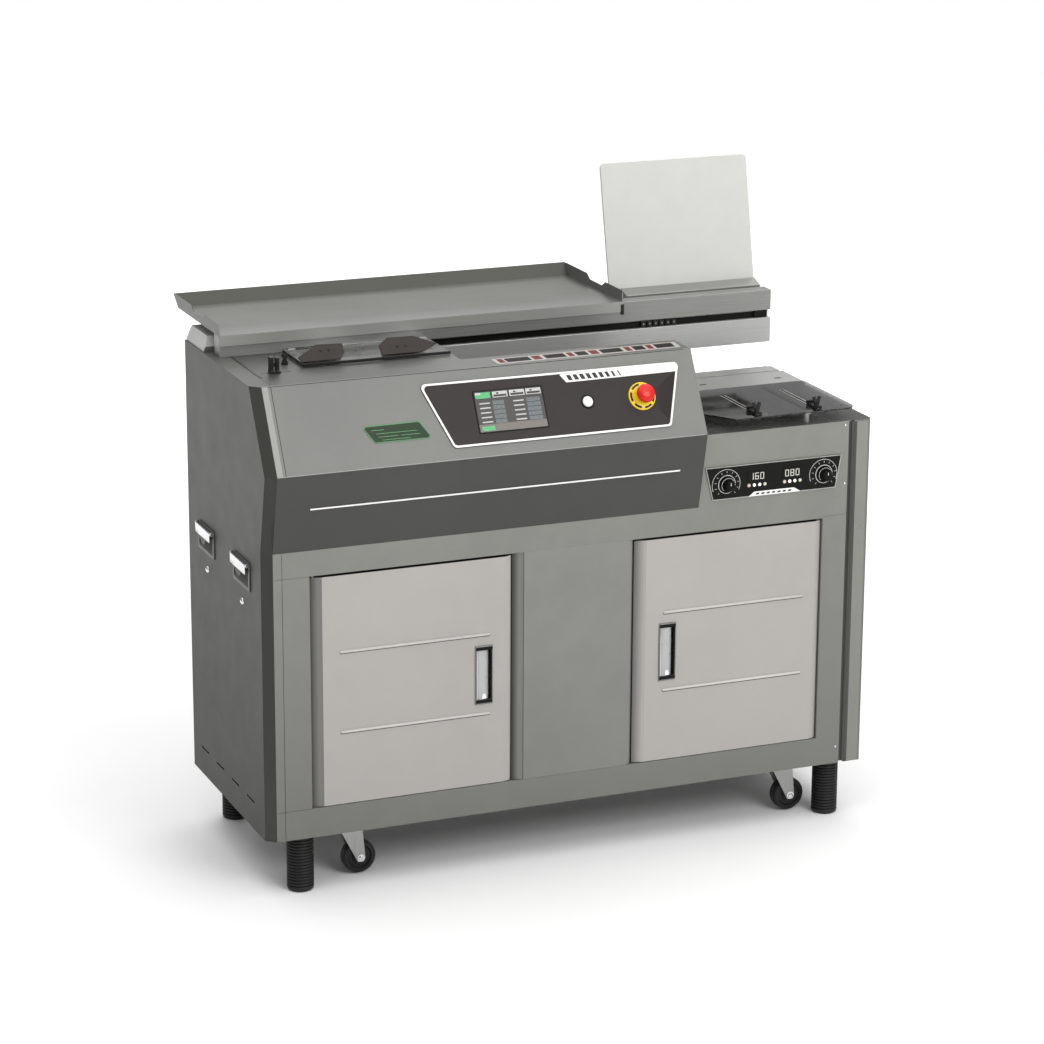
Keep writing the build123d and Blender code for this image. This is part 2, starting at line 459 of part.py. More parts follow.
def door(x0, x1, hinge_x, handle_x, ribs, mirror):
    z0, z1 = DOOR_Z0 + 1.5, DOOR_Z1 - DOOR_TOP_GAP
    c0 = DOOR_CHAMFER_X if not mirror else 24.0
    c1 = 14.0
    if mirror:
        cl, cr = c0, 15.0
    else:
        cl, cr = c0, c1
    d = prism_z([(x0, DOOR_CHAMFER_Y), (x0 + cl, 0), (x1 - cr, 0), (x1, DOOR_CHAMFER_Y), (x1, DOOR_T), (x0, DOOR_T)], z0, z1)
    inner = prism_z([(x0 + 14, 8), (x0 + cl + 4, 2), (x1 - cr - 4, 2), (x1 - 14, 8), (x1 - 14, DOOR_T + 2),
                     (x0 + 14, DOOR_T + 2)], z0 + 12, z1 - 12)
    d -= inner
    # pressed ribs
    for rz in (360.0, 202.0):
        d += blk(ribs[0], ribs[1], -1.0, 0.5, rz - 2, rz + 2)
    # recess for the pull handle, with a closed pocket behind it
    hx0, hx1 = handle_x
    d += blk(hx0 - 2, hx1 + 2, 1, 18, HANDLE_H[0] - 2, HANDLE_H[1] + 2)
    d -= blk(hx0, hx1, -5, 16, *HANDLE_H)
    for z, dr in ((z0 - 1, 1), (z1 + 1, -1)):
        d -= rod((hinge_x, HINGE_IN_Y, z), (0, 0, dr), PIN_R + RUN, 14)
    return d


LD = (DOOR_X0 + 1.5, CENTRE_X0 - 1.0)
RD = (CENTRE_X1 + 1.0, DOOR_X1 - 1.5)
LH, RH = (417.0, 453.0), (799.0, 835.0)
add("left_door", door(*LD, LEFT_HINGE[0], LH, (147, 448), False))
add("right_door", door(*RD, RIGHT_HINGE[0], RH, (808, 1108), True))


def handle(hx, grip_left):
    # pull cup: a rim, end caps, and a curved finger plate over one half of its hollow
    x0, x1 = hx
    z0, z1 = HANDLE_H
    h = blk(x0, x1, -2.5, 14, z0, z1)
    h -= blk(x0 + 2, x1 - 2, -5, 12, z0 + 9, z1 - 9)
    gx0 = x0 + 2 if grip_left else x1 - 2 - 17
    h += blk(gx0, gx0 + 17, -2.0, 0.5, z0 + 9, z1 - 9)
    return h


add("left_door_handle", handle(LH, True))
add("right_door_handle", handle(RH, True))

# ---------------------------------------------------------------- flap latches on the left side
bodies = []
FLAP_AXIS = {}
for key, (y0, y1) in LATCHES.items():
    b = blk(-3.5, 0, y0, y1, LATCH_Z0, LATCH_Z1) + blk(0, 18, y0 + 4, y1 - 4, LATCH_Z0 + 4, LATCH_Z1 - 4)
    b -= blk(-6, 15, y0 + 7, y1 - 7, LATCH_Z0 + 7, LATCH_Z1 - 7)
    # inner plate, sloping outward towards the bottom
    b += prism_y([(-3, LATCH_Z0 + 7), (15, LATCH_Z0 + 34), (15, LATCH_Z0 + 7)], y0 + 7, y1 - 7)
    FLAP_AXIS[key] = (-7.0, LATCH_Z1 - 4)
    # two ears carry the flap's pin in front of the top rim
    for ya, yb in ((y0 + 1, y0 + 5), (y1 - 5, y1 - 1)):
        b += blk(-9, -3.5, ya, yb, LATCH_Z1 - 8, LATCH_Z1)
    b += rod((-7.0, y0 + 1, LATCH_Z1 - 4), (0, 1, 0), 1.0, 98)
    bodies.append(b)
    f = blk(-10, -4.6, y0 + 5.4, y1 - 5.4, LATCH_Z1 - 7, LATCH_Z1 - 2)
    f += blk(-10, -8, y0 + 5.4, y1 - 5.4, LATCH_Z1 - 22, LATCH_Z1 - 7)
    f += prism_x([(y0 + 26, LATCH_Z1 - 22), (y0 + 36, LATCH_Z1 - 33), (y1 - 40, LATCH_Z1 - 33),
                  (y1 - 28, LATCH_Z1 - 22)], -10, -8)
    f -= rod((-7.0, y0 - 2, LATCH_Z1 - 4), (0, 1, 0), 1.0 + RUN, 104)
    add("latch_flap_" + key, f)
for y, z in STUDS:
    bodies.append(rod((0, y, z), (-1, 0, 0), 7, 1.5) + cone((-1.5, y, z), (-1, 0, 0), 6, 3.5, 3))
add("latch_bodies", bodies)

# ---------------------------------------------------------------- gluing and milling shuttle
sf = blk(160, 410, 205, 402, 745, 750)
sf += blk(160, 410, 402, 408, 745, 800)
for x in (165, 290):
    sf += blk(x, x + 30, 402, 438.5, 780, 849)
for z in (RAIL_Z1, RAIL_Z2):
    sf -= rod((150, RAIL_Y, z), (1, 0, 0), 7 + RUN, 200)
CUTTER_XY = (378.0, 333.0)
sf += rod((*CUTTER_XY, 736), (0, 0, 1), 16, 14)
sf -= rod((*CUTTER_XY, 720), (0, 0, 1), 8 + RUN, 60)
add("shuttle_frame", sf)
tank = blk(170, 345, 210, 392, 750, 796)
tank -= blk(175, 340, 215, 387, 755, 800)
ROLLER_X, ROLLER_Z = 312.0, 777.0
tank -= rod((ROLLER_X, 200, ROLLER_Z), (0, 1, 0), 5 + RUN, 210)
add("glue_tank", tank)
roller = rod((ROLLER_X, 220, ROLLER_Z), (0, 1, 0), 17, 160) + rod((ROLLER_X, 208, ROLLER_Z), (0, 1, 0), 5, 186)
add("glue_roller", roller)
cutter = rod((*CUTTER_XY, 782), (0, 0, 1), 25, 8) + rod((*CUTTER_XY, 738), (0, 0, 1), 8, 46)
for k in range(8):
    a = math.radians(45 * k)
    cutter += Pos(CUTTER_XY[0] + 26 * math.cos(a), CUTTER_XY[1] + 26 * math.sin(a), 788) * \
        Rot(0, 0, 45 * k) * Box(7, 5, 9)
add("milling_cutter", cutter)

# ---------------------------------------------------------------- cover table
# rear part: a steel box with a fixed nip edge; the clear front plate rests on its ledge and on
# an arm carried by the slim front column
table = blk(903, 1215, 225, 374, PLATFORM_Z + 0.6, PLATFORM_Z + 4)
table += blk(903, 1215, 300, 374, PLATFORM_Z + 0.6, TABLE_Z - 12)
table += blk(903, 1215, 297, 300, PLATFORM_Z + 4, TABLE_Z)
table += blk(903, 906, 225, 300, PLATFORM_Z + 4, TABLE_Z - 3) + blk(1212, 1215, 225, 300, PLATFORM_Z + 4, TABLE_Z - 3)
table += blk(903, 1215, 225, 228, PLATFORM_Z + 4, TABLE_Z - 3)
table += blk(903, 1215, 225, 244, TABLE_Z - 6, TABLE_Z - 3)
table += blk(900, 1218, 241, 331, TABLE_Z - 3, TABLE_Z)
table += blk(1113, 1125, 21, 227, TABLE_Z - 8, TABLE_Z - 3)
for x, y in ((1016, 279), (1181, 276)):
    table -= blk(x - 7, x + 7, y - 2, y + 2, TABLE_Z - 5, TABLE_Z + 2)
for cx, cy, cr in COLUMNS:
    table += rod((cx, cy, 590), (0, 0, 1), cr, (PLATFORM_Z + 1 if cy > 100 else TABLE_Z - 7) - 590)
add("cover_table", table)
acr = prism_z([(958, 9), (1220, 9), (1220, 240), (900, 240), (900, 92)], TABLE_Z - 3, TABLE_Z)
acr = round_along(acr, (0, 0, 1), 24, keep=lambda e: e.center().X > 1200 and e.center().Y < 50)
GUIDES = {"1": 1014.5, "2": 1144.0}
for x in GUIDES.values():
    acr -= blk(x - 3 - RUN, x + 3 + RUN, 26, 187, TABLE_Z - 10, TABLE_Z + 5)
add("cover_table_acrylic", acr)
GUIDE_Y = 34.0
for key, x in GUIDES.items():
    g = rod((x, GUIDE_Y, TABLE_Z - 7), (0, 0, 1), 3, 12) + rod((x, GUIDE_Y, TABLE_Z - 7.5), (0, 0, 1), 8, 4)
    g += blk(x - 7, x + 7, GUIDE_Y - 10, 64, TABLE_Z + 0.4, TABLE_Z + 4.5)
    g += blk(x - 7, x + 7, 57, 64, TABLE_Z + 4.5, TABLE_Z + 9)
    g += rod((x, GUIDE_Y, TABLE_Z + 4.5), (0, 0, 1), 5, 6)
    g += prism_y([(x - 5, TABLE_Z + 8), (x - 9, TABLE_Z + 22), (x - 4, TABLE_Z + 23), (x, TABLE_Z + 14),
                  (x + 4, TABLE_Z + 23), (x + 9, TABLE_Z + 22), (x + 5, TABLE_Z + 8)], GUIDE_Y - 2, GUIDE_Y + 2)
    add("cover_guide_" + key, g)
NIP_TRAVEL = 5.0
nip = blk(904, 1214, 337, 373.5, TABLE_Z - 12 + 0.3, TABLE_Z)
add("rear_nip_plate", nip)

# ---------------------------------------------------------------- feet and casters
for key, (fx, fy) in FEET.items():
    pts = [(0, FLOOR_Z), (FOOT_R - 4, FLOOR_Z), (FOOT_R, FLOOR_Z + 4), (FOOT_R, FLOOR_Z + 9)]
    z = FLOOR_Z + 9
    while z + 6 < -6:
        pts += [(FOOT_R - 2.2, z + 1.5), (FOOT_R - 2.2, z + 2.7), (FOOT_R, z + 4.0), (FOOT_R, z + 6)]
        z += 6
    pts += [(FOOT_R, -0.4), (10, -0.4), (10, 60), (0, 60)]
    f = revolve(make_face(Polyline(*[(r, 0, zz) for r, zz in pts], close=True)), axis=Axis.Z)
    add("foot_" + key, Pos(fx, fy, 0) * f)
for key, (cx, cy) in CASTERS.items():
    wx_, wz_ = cx + CASTER_TRAIL, CASTER_Z
    fork = rod((cx, cy, -14), (0, 0, 1), 24, 12) + rod((cx, cy, -14), (0, 0, 1), 7, 40)
    fork += blk(cx - 22, cx + 24, cy - 18, cy + 18, -18, -13)
    for ya, yb in ((cy - 18, cy - 14.5), (cy + 14.5, cy + 18)):
        fork += prism_y([(cx - 22, -13), (cx + 24, -13), (wx_ + 9, wz_), (wx_ + 6, wz_ - 8), (wx_ - 6, wz_ - 8),
                         (wx_ - 10, wz_)], ya, yb)
    fork += rod((wx_, cy - 19.5, wz_), (0, 1, 0), 4, 39)
    add("caster_fork_" + key, fork)
    prof = [(4 + RUN, -12.5), (12, -12.5), (12, -9), (24, -9), (24, -12.5), (30, -12.5), (CASTER_R, -9),
            (CASTER_R, 9), (30, 12.5), (24, 12.5), (24, 9), (12, 9), (12, 12.5), (4 + RUN, 12.5)]
    w = revolve(make_face(Polyline(*[(0, y, r) for r, y in prof], close=True)), axis=Axis.Y)
    add("caster_wheel_" + key, Pos(wx_, cy, wz_) * w)


# ---------------------------------------------------------------- origin and export
def solids(shape):
    if isinstance(shape, (list, tuple)):
        out = []
        for s in shape:
            out += solids(s)
        return out
    return list(shape.solids())


lo, hi = [1e9] * 3, [-1e9] * 3
for s in PARTS.values():
    for q in solids(s):
        b = q.bounding_box()
        for k, v in enumerate((b.min.X, b.min.Y, b.min.Z)):
            lo[k] = min(lo[k], v)
        for k, v in enumerate((b.max.X, b.max.Y, b.max.Z)):
            hi[k] = max(hi[k], v)
OFFSET = (-(lo[0] + hi[0]) / 2, -(lo[1] + hi[1]) / 2, -lo[2])

if __name__ == "__main__":
    print("nodes", len(PARTS), "box", [round(h - l, 2) for l, h in zip(lo, hi)], "offset", [round(v, 3) for v in OFFSET])
for name, s in PARTS.items():
    export_step(Pos(*OFFSET) * Compound(children=solids(s)) if len(solids(s)) > 1 else Pos(*OFFSET) * solids(s)[0],
                "parts/" + name + ".step")
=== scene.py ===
import bpy
import bmesh
import math
from mathutils import Vector, Matrix


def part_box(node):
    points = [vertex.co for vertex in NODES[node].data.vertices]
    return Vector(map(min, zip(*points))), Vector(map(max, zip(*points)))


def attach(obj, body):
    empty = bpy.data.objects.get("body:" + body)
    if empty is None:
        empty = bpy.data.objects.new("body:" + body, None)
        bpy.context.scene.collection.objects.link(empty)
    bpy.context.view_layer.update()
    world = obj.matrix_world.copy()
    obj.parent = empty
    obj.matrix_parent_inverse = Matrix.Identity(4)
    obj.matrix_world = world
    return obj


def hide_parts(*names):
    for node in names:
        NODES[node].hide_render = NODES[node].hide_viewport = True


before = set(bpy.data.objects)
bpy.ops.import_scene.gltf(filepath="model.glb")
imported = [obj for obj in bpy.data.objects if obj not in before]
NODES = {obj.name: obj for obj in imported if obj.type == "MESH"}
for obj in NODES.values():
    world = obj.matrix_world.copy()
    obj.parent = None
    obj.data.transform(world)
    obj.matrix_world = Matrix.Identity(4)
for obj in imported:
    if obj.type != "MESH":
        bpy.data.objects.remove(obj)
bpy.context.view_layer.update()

# ------------------------------------------------------------------ coordinates
# Drawing coordinates in millimetres: x = 0 at the left panel's face, y = 0 at the front plane,
# z = 0 at the cabinet's bottom edge. P() gives metres in the part's frame.
OX, OY, OZ = -620.0, -278.8, 113.0


def P(x, y, z):
    return Vector(((x + OX) / 1000.0, (y + OY) / 1000.0, (z + OZ) / 1000.0))


TOP_Z = 867.7
CONSOLE_TOP_Y = 50.6
RIDGE = (-34.4, 717.3)
LOW = (0.0, 563.9)
CONSOLE_END_X = 879.0
SL = math.hypot(RIDGE[0] - CONSOLE_TOP_Y, RIDGE[1] - TOP_Z)
SDY, SDZ = (RIDGE[0] - CONSOLE_TOP_Y) / SL, (RIDGE[1] - TOP_Z) / SL
N_SLOPE = Vector((0.0, SDZ, -SDY))
LL = math.hypot(RIDGE[0] - LOW[0], RIDGE[1] - LOW[1])
LDY, LDZ = (LOW[0] - RIDGE[0]) / LL, (LOW[1] - RIDGE[1]) / LL
N_LOW = Vector((0.0, LDZ, -LDY))


def on_slope(x, s, h=0.0):
    return P(x, CONSOLE_TOP_Y + s * SDY + h * N_SLOPE.y, TOP_Z + s * SDZ + h * N_SLOPE.z)


def on_low(x, s, h=0.0):
    return P(x, RIDGE[0] + s * LDY + h * N_LOW.y, RIDGE[1] + s * LDZ + h * N_LOW.z)


# ------------------------------------------------------------------ materials
class Mat:
    def __init__(self, name):
        self.m = bpy.data.materials.new(name)
        self.m.use_nodes = True
        self.nt = self.m.node_tree
        self.nt.nodes.clear()
        self.out = self.nt.nodes.new("ShaderNodeOutputMaterial")
        self.b = self.nt.nodes.new("ShaderNodeBsdfPrincipled")
        self.nt.links.new(self.b.outputs[0], self.out.inputs[0])
        self.tc = self.nt.nodes.new("ShaderNodeTexCoord")

    def set(self, **k):
        for n, v in k.items():
            self.b.inputs[n.replace("_", " ")].default_value = v
        return self

    def coord(self, scale=(1, 1, 1), rot=(0, 0, 0), which="Object"):
        mp = self.nt.nodes.new("ShaderNodeMapping")
        mp.inputs["Scale"].default_value = scale
        mp.inputs["Rotation"].default_value = rot
        self.nt.links.new(self.tc.outputs[which], mp.inputs["Vector"])
        return mp.outputs[0]

    def noise(self, vec, scale, detail=4.0, rough=0.5, out="Fac"):
        n = self.nt.nodes.new("ShaderNodeTexNoise")
        n.inputs["Scale"].default_value = scale
        n.inputs["Detail"].default_value = detail
        n.inputs["Roughness"].default_value = rough
        self.nt.links.new(vec, n.inputs["Vector"])
        return n.outputs[out]

    def voronoi(self, vec, scale, feature="F1"):
        n = self.nt.nodes.new("ShaderNodeTexVoronoi")
        n.feature = feature
        n.inputs["Scale"].default_value = scale
        self.nt.links.new(vec, n.inputs["Vector"])
        return n.outputs[0]

    def ramp(self, fac, stops):
        r = self.nt.nodes.new("ShaderNodeValToRGB")
        e = r.color_ramp.elements
        while len(e) > 2:
            e.remove(e[-1])
        for i, (p, c) in enumerate(stops):
            if i >= len(e):
                e.new(p)
            e[i].position = p
            e[i].color = c if len(c) == 4 else (*c, 1.0)
        self.nt.links.new(fac, r.inputs["Fac"])
        return r.outputs["Color"]

    def mapr(self, fac, lo, hi, a=0.0, b=1.0):
        r = self.nt.nodes.new("ShaderNodeMapRange")
        for k, v in (("From Min", lo), ("From Max", hi), ("To Min", a), ("To Max", b)):
            r.inputs[k].default_value = v
        self.nt.links.new(fac, r.inputs["Value"])
        return r.outputs[0]

    def mix(self, fac, a, b):
        n = self.nt.nodes.new("ShaderNodeMix")
        n.data_type = "RGBA"
        if isinstance(fac, float):
            n.inputs["Factor"].default_value = fac
        else:
            self.nt.links.new(fac, n.inputs["Factor"])
        for key, v in ((6, a), (7, b)):
            if isinstance(v, (tuple, list)):
                n.inputs[key].default_value = (*v[:3], 1.0)
            else:
                self.nt.links.new(v, n.inputs[key])
        return n.outputs[2]

    def math(self, op, a, b=0.0, c=0.0):
        n = self.nt.nodes.new("ShaderNodeMath")
        n.operation = op
        for i, v in enumerate((a, b, c)):
            if isinstance(v, (int, float)):
                n.inputs[i].default_value = v
            else:
                self.nt.links.new(v, n.inputs[i])
        return n.outputs[0]

    def sep(self, vec):
        n = self.nt.nodes.new("ShaderNodeSeparateXYZ")
        self.nt.links.new(vec, n.inputs[0])
        return n.outputs

    def geom(self, out):
        n = self.nt.nodes.new("ShaderNodeNewGeometry")
        return n.outputs[out]

    def shade(self, col, big, shades):
        """Painted shade and painted highlight: tones by facing (x, y, z of the normal) or by place (X, Y, Z in metres);
        a list of steps is one product.
        """
        if shades:
            vt = self.nt.nodes.new("ShaderNodeVectorTransform")
            vt.vector_type, vt.convert_from, vt.convert_to = "NORMAL", "WORLD", "OBJECT"
            self.nt.links.new(self.geom("True Normal"), vt.inputs[0])
            n = self.sep(vt.outputs[0])
            q = self.sep(self.coord())
            for steps, tone in shades:
                fac = None
                for k, lo, hi in steps:
                    f = self.mapr(n["xyz".index(k)] if k in "xyz" else q["XYZ".index(k)], lo, hi)
                    fac = f if fac is None else self.math("MULTIPLY", fac, f)
                col = self.mix(fac, col, self.mix(self.mapr(big, 0.3, 0.7), dim(tone, 0.92), dim(tone, 1.08)))
        return col

    def bump(self, height, strength=0.3, distance=0.001):
        n = self.nt.nodes.new("ShaderNodeBump")
        n.inputs["Strength"].default_value = strength
        n.inputs["Distance"].default_value = distance
        self.nt.links.new(height, n.inputs["Height"])
        self.nt.links.new(n.outputs[0], self.b.inputs["Normal"])
        return n

    def color(self, c):
        if isinstance(c, (tuple, list)):
            self.b.inputs["Base Color"].default_value = (*c[:3], 1.0)
        else:
            self.nt.links.new(c, self.b.inputs["Base Color"])

    def rough(self, r):
        if isinstance(r, (int, float)):
            self.b.inputs["Roughness"].default_value = r
        else:
            self.nt.links.new(r, self.b.inputs["Roughness"])


def srgb(r, g, b):
    def f(v):
        v /= 255.0
        return v / 12.92 if v <= 0.04045 else ((v + 0.055) / 1.055) ** 2.4
    return (f(r), f(g), f(b))


def dim(c, k):
    return tuple(v * k for v in c)


def powder(name, c, rough=0.42, var=0.10, grain=1.0, dust=0.0, metal=0.0, coat=0.0, bottom_shade=0.0, spec=0.5, shades=()):
    """Powder-coated sheet: fine orange peel, slow tone drift, faint smudges, dust towards the bottom, painted shade
    darkening it towards the bottom, and painted shade and highlight tones by facing or place.
    """
    m = Mat(name)
    v = m.coord()
    big = m.noise(v, 2.3, 5, 0.55)
    mid = m.noise(v, 19.0, 6, 0.6)
    fine = m.noise(v, 900.0, 2, 0.5)
    col = m.mix(m.mapr(big, 0.3, 0.7), dim(c, 1.0 - var), dim(c, 1.0 + var))
    col = m.mix(m.mapr(mid, 0.45, 0.75, 0.0, 0.35), col, dim(c, 1.0 + 1.6 * var))
    speck = m.noise(v, 1600.0, 1, 0.5)
    col = m.mix(m.mapr(speck, 0.62, 0.8, 0.0, 0.22), col, dim(c, 1.45))
    # painted shade: darker towards the bottom, standing in for light from above
    if bottom_shade > 0:
        col = m.mix(m.mapr(m.sep(v)[2], 0.12, 0.80, bottom_shade, 0.0), col, dim(c, 0.28))
    if dust > 0:
        z = m.sep(v)[2]
        low = m.mapr(z, 0.10, 0.32, dust, 0.0)
        col = m.mix(m.math("MULTIPLY", low, m.mapr(mid, 0.3, 0.7)), col, dim(c, 0.8))
    # painted shade and highlight tones by facing or place
    col = m.shade(col, big, shades)
    m.color(col)
    r = m.math("ADD", m.mapr(mid, 0.25, 0.75, rough - 0.07, rough + 0.09), m.mapr(big, 0.3, 0.7, -0.03, 0.03))
    m.rough(r)
    m.set(Metallic=metal, Coat_Weight=coat, Specular_IOR_Level=spec)
    h = m.math("ADD", m.math("MULTIPLY", fine, 0.6), m.math("MULTIPLY", speck, 0.4))
    m.bump(h, 0.10 * grain, 0.0006)
    return m.m


def brushed(name, c, axis=0, rough=0.34, var=0.12, metal=0.9, stretch=140.0, bump=0.10, shades=()):
    """Metal with fine straight grinding lines along one axis."""
    m = Mat(name)
    sc = [stretch, stretch, stretch]
    sc[axis] = 1.6
    lines = m.noise(m.coord(tuple(sc)), 6.0, 5, 0.65)
    v = m.coord()
    big = m.noise(v, 3.1, 4, 0.5)
    col = m.mix(m.mapr(lines, 0.3, 0.7), dim(c, 1 - var), dim(c, 1 + var))
    col = m.mix(m.mapr(big, 0.4, 0.75, 0.0, 0.4), col, dim(c, 0.85))
    # painted shade and highlight tones by facing or place
    col = m.shade(col, lines, shades)
    m.color(col)
    m.rough(m.math("ADD", m.mapr(lines, 0.25, 0.75, rough - 0.06, rough + 0.10), m.mapr(big, 0.3, 0.7, -0.04, 0.05)))
    m.set(Metallic=metal, Anisotropic=0.45)
    m.bump(lines, bump, 0.0004)
    return m.m


def chrome(name, c=(0.62, 0.62, 0.62), rough=0.10):
    m = Mat(name)
    v = m.coord()
    n = m.noise(v, 60.0, 5, 0.6)
    m.color(m.mix(m.mapr(n, 0.35, 0.7), dim(c, 0.93), dim(c, 1.05)))
    m.rough(m.mapr(n, 0.3, 0.75, rough * 0.6, rough * 1.9))
    m.set(Metallic=1.0)
    m.bump(m.noise(v, 300.0, 3, 0.5), 0.02, 0.0003)
    return m.m


def plastic(name, c, rough=0.38, grain=0.5, var=0.08, coat=0.0, scale=700.0, spec=0.35):
    m = Mat(name)
    v = m.coord()
    big = m.noise(v, 24.0, 5, 0.55)
    g = m.voronoi(v, scale)
    col = m.mix(m.mapr(big, 0.3, 0.7), dim(c, 1 - var), dim(c, 1 + var))
    m.color(col)
    m.rough(m.mapr(big, 0.25, 0.75, rough - 0.06, rough + 0.10))
    m.set(Coat_Weight=coat, Specular_IOR_Level=spec)
    m.bump(g, 0.08 * grain, 0.0005)
    return m.m


def clear(name, c, rough=0.04, ior=1.49, trans=1.0, var=0.03):
    m = Mat(name)
    v = m.coord()
    big = m.noise(v, 9.0, 5, 0.6)
    m.color(m.mix(m.mapr(big, 0.35, 0.7), dim(c, 1 - var), dim(c, 1 + var)))
    m.rough(m.mapr(m.noise(v, 33.0, 6, 0.62), 0.4, 0.75, rough, rough + 0.06))
    m.b.inputs["IOR"].default_value = ior
    m.b.inputs["Transmission Weight"].default_value = trans
    m.bump(m.noise(v, 6.0, 2, 0.5), 0.02, 0.002)
    return m.m


def lit(name, c, strength, var=0.15):
    m = Mat(name)
    v = m.coord()
    n = m.noise(v, 500.0, 2, 0.5)
    m.color(m.mix(m.mapr(n, 0.3, 0.7), dim(c, 1 - var), dim(c, 1 + var)))
    m.rough(m.mapr(n, 0.3, 0.7, 0.2, 0.32))
    m.nt.links.new(m.mix(m.mapr(n, 0.3, 0.7), dim(c, 1 - var), dim(c, 1 + var)), m.b.inputs["Emission Color"])
    m.b.inputs["Emission Strength"].default_value = strength
    return m.m


FRONT_C = srgb(128, 129, 123)
# painted shade: darker copies of the front paint for the left side and the lower console panel, which face away from
# the light
SIDE_SHADE_C = srgb(82, 82, 78)
LOW_PANEL_SHADE_C = srgb(64, 64, 61)
DOOR_C = srgb(168, 165, 161)
CENTRE_C = srgb(130, 131, 126)
# painted shade tones for chamfers, and a near-black painted shadow for the gaps round the doors
SHADE_L, SHADE_R, GAP_SHADOW = srgb(104, 104, 98), srgb(70, 70, 66), srgb(16, 16, 15)

# painted shade: the front paint darkens towards the bottom
M_FRONT = powder("front_paint", FRONT_C, 0.40, dust=0.18, bottom_shade=0.46)
M_CONSOLE = powder("console_paint", srgb(115, 116, 112), 0.38, spec=0.35)
# painted shade: the lower console panel in a darker copy of the paint
M_LOW_SHADE = powder("console_low_shaded_paint", LOW_PANEL_SHADE_C, 0.38, spec=0.3)
# painted shade: left chamfer darker, deepest at its outer edge, painted shadow lines at the chamfer's inner edge and at
# the right edge, and darker towards the bottom
c_lo, c_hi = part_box("centre_panel")
M_CENTRE = powder("centre_paint", CENTRE_C, 0.40, dust=0.15, bottom_shade=0.32,
                  shades=(((("x", -0.06, -0.14),), srgb(112, 113, 107)), ((("x", -0.06, -0.14), ("X", c_lo[0] + 0.013, c_lo[0] + 0.003)), srgb(48, 48, 45)),
                          ((("X", c_lo[0] + 0.0208, c_lo[0] + 0.0214), ("X", c_lo[0] + 0.0232, c_lo[0] + 0.0226)), srgb(64, 64, 60)),
                          ((("X", c_hi[0] - 0.0040, c_hi[0] - 0.0022),), srgb(48, 48, 45))))


# Door paint with painted shade: chamfers darker by facing and place, a painted shadow line at the right edge,
# near-black painted shadow on the side faces, and darker towards the bottom.
def door_material(name, node, edge, inner, width):
    lo_, hi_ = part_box(node)
    return powder(name, DOOR_C, 0.42, var=0.05, dust=0.10, bottom_shade=0.10,
                  shades=(((("x", -0.06, -0.14),), inner), ((("x", -0.06, -0.14), ("X", lo_[0] + width, lo_[0] + 0.001)), edge),
                          ((("X", hi_[0] - 0.0030, hi_[0] - 0.0012),), srgb(120, 118, 114)),
                          ((("x", 0.88, 0.95),), GAP_SHADOW), ((("x", -0.88, -0.95),), GAP_SHADOW), ((("z", 0.8, 0.95),), GAP_SHADOW), ((("z", -0.8, -0.95),), GAP_SHADOW)))


M_DOOR_L = door_material("door_paint_left", "left_door", srgb(60, 60, 56), srgb(112, 111, 107), 0.014)
M_DOOR_R = door_material("door_paint_right", "right_door", srgb(92, 91, 88), srgb(160, 157, 153), 0.020)
# painted shade: darker groove and right edge on the front, darker top face, and darker towards the bottom
M_RIGHT = powder("right_paint", FRONT_C, 0.34, dust=0.18, bottom_shade=0.22,
                 shades=(((("X", 0.5972, 0.5966), ("y", -0.2, -0.5)), srgb(56, 56, 53)), ((("X", 0.6190, 0.6265), ("y", -0.2, -0.5)), srgb(72, 72, 69)),
                         ((("z", 0.5, 0.8),), srgb(70, 70, 67))))
# painted light: the front face lighter than the dark top
M_PLATFORM = powder("platform_paint", srgb(70, 70, 68), 0.26, spec=0.2, shades=(((("y", -0.5, -0.8),), srgb(115, 116, 110)),), grain=0.3)
M_BASE = powder("base_paint", srgb(60, 60, 58), 0.5, dust=0.3)
M_REAR = powder("rear_paint", srgb(112, 112, 106), 0.42, dust=0.18)
# painted shade: the left part of the deck top darker, where the beam's shadow falls
M_DECK = brushed("deck_metal", srgb(95, 95, 92), 0, 0.38, metal=0.35,
                 shades=(((("X", -0.22, -0.36), ("z", 0.9, 0.97)), srgb(70, 70, 68)),))
# painted shade: tray top darker towards the back and the back wall's inner face dark; painted light: the front face
# lighter
M_TRAY = brushed("tray_metal", srgb(119, 120, 118), 0, 0.38, metal=0.35,
                 shades=(((("Y", -0.01, 0.085), ("z", 0.9, 0.97)), srgb(88, 88, 83)), ((("y", -0.3, -0.5), ("y", -0.95, -0.85)), srgb(66, 66, 60)), ((("y", -0.96, -0.99),), srgb(166, 166, 162))))
M_BEAM = brushed("beam_metal", srgb(142, 142, 139), 0, 0.33, metal=0.4)
M_JAW = brushed("lower_beam_metal", srgb(178, 178, 176), 0, 0.33, metal=0.4)
M_STEEL = brushed("works_steel", srgb(140, 140, 138), 0, 0.35)
M_TABLE = brushed("table_steel", srgb(176, 176, 173), 0, 0.36, metal=0.35)
M_STEEL_Z = brushed("fork_steel", srgb(158, 158, 156), 2, 0.33)
M_ROD = chrome("rod_steel", (0.55, 0.55, 0.55), 0.14)
M_CHROME = chrome("chrome", (0.75, 0.75, 0.76), 0.09)
M_BLACK = plastic("black_plastic", srgb(26, 26, 26), 0.36)
M_BLACK_SAT = plastic("black_satin", srgb(18, 18, 16), 0.36, 0.3, spec=0.12)
M_KNOB = plastic("knob_black", srgb(14, 14, 13), 0.45, 0.4, spec=0.12)
M_FASCIA = plastic("fascia_film", srgb(50, 45, 44), 0.38, 0.25, spec=0.15)
M_WHITE = plastic("white_print", srgb(236, 236, 232), 0.35, 0.2, var=0.03)
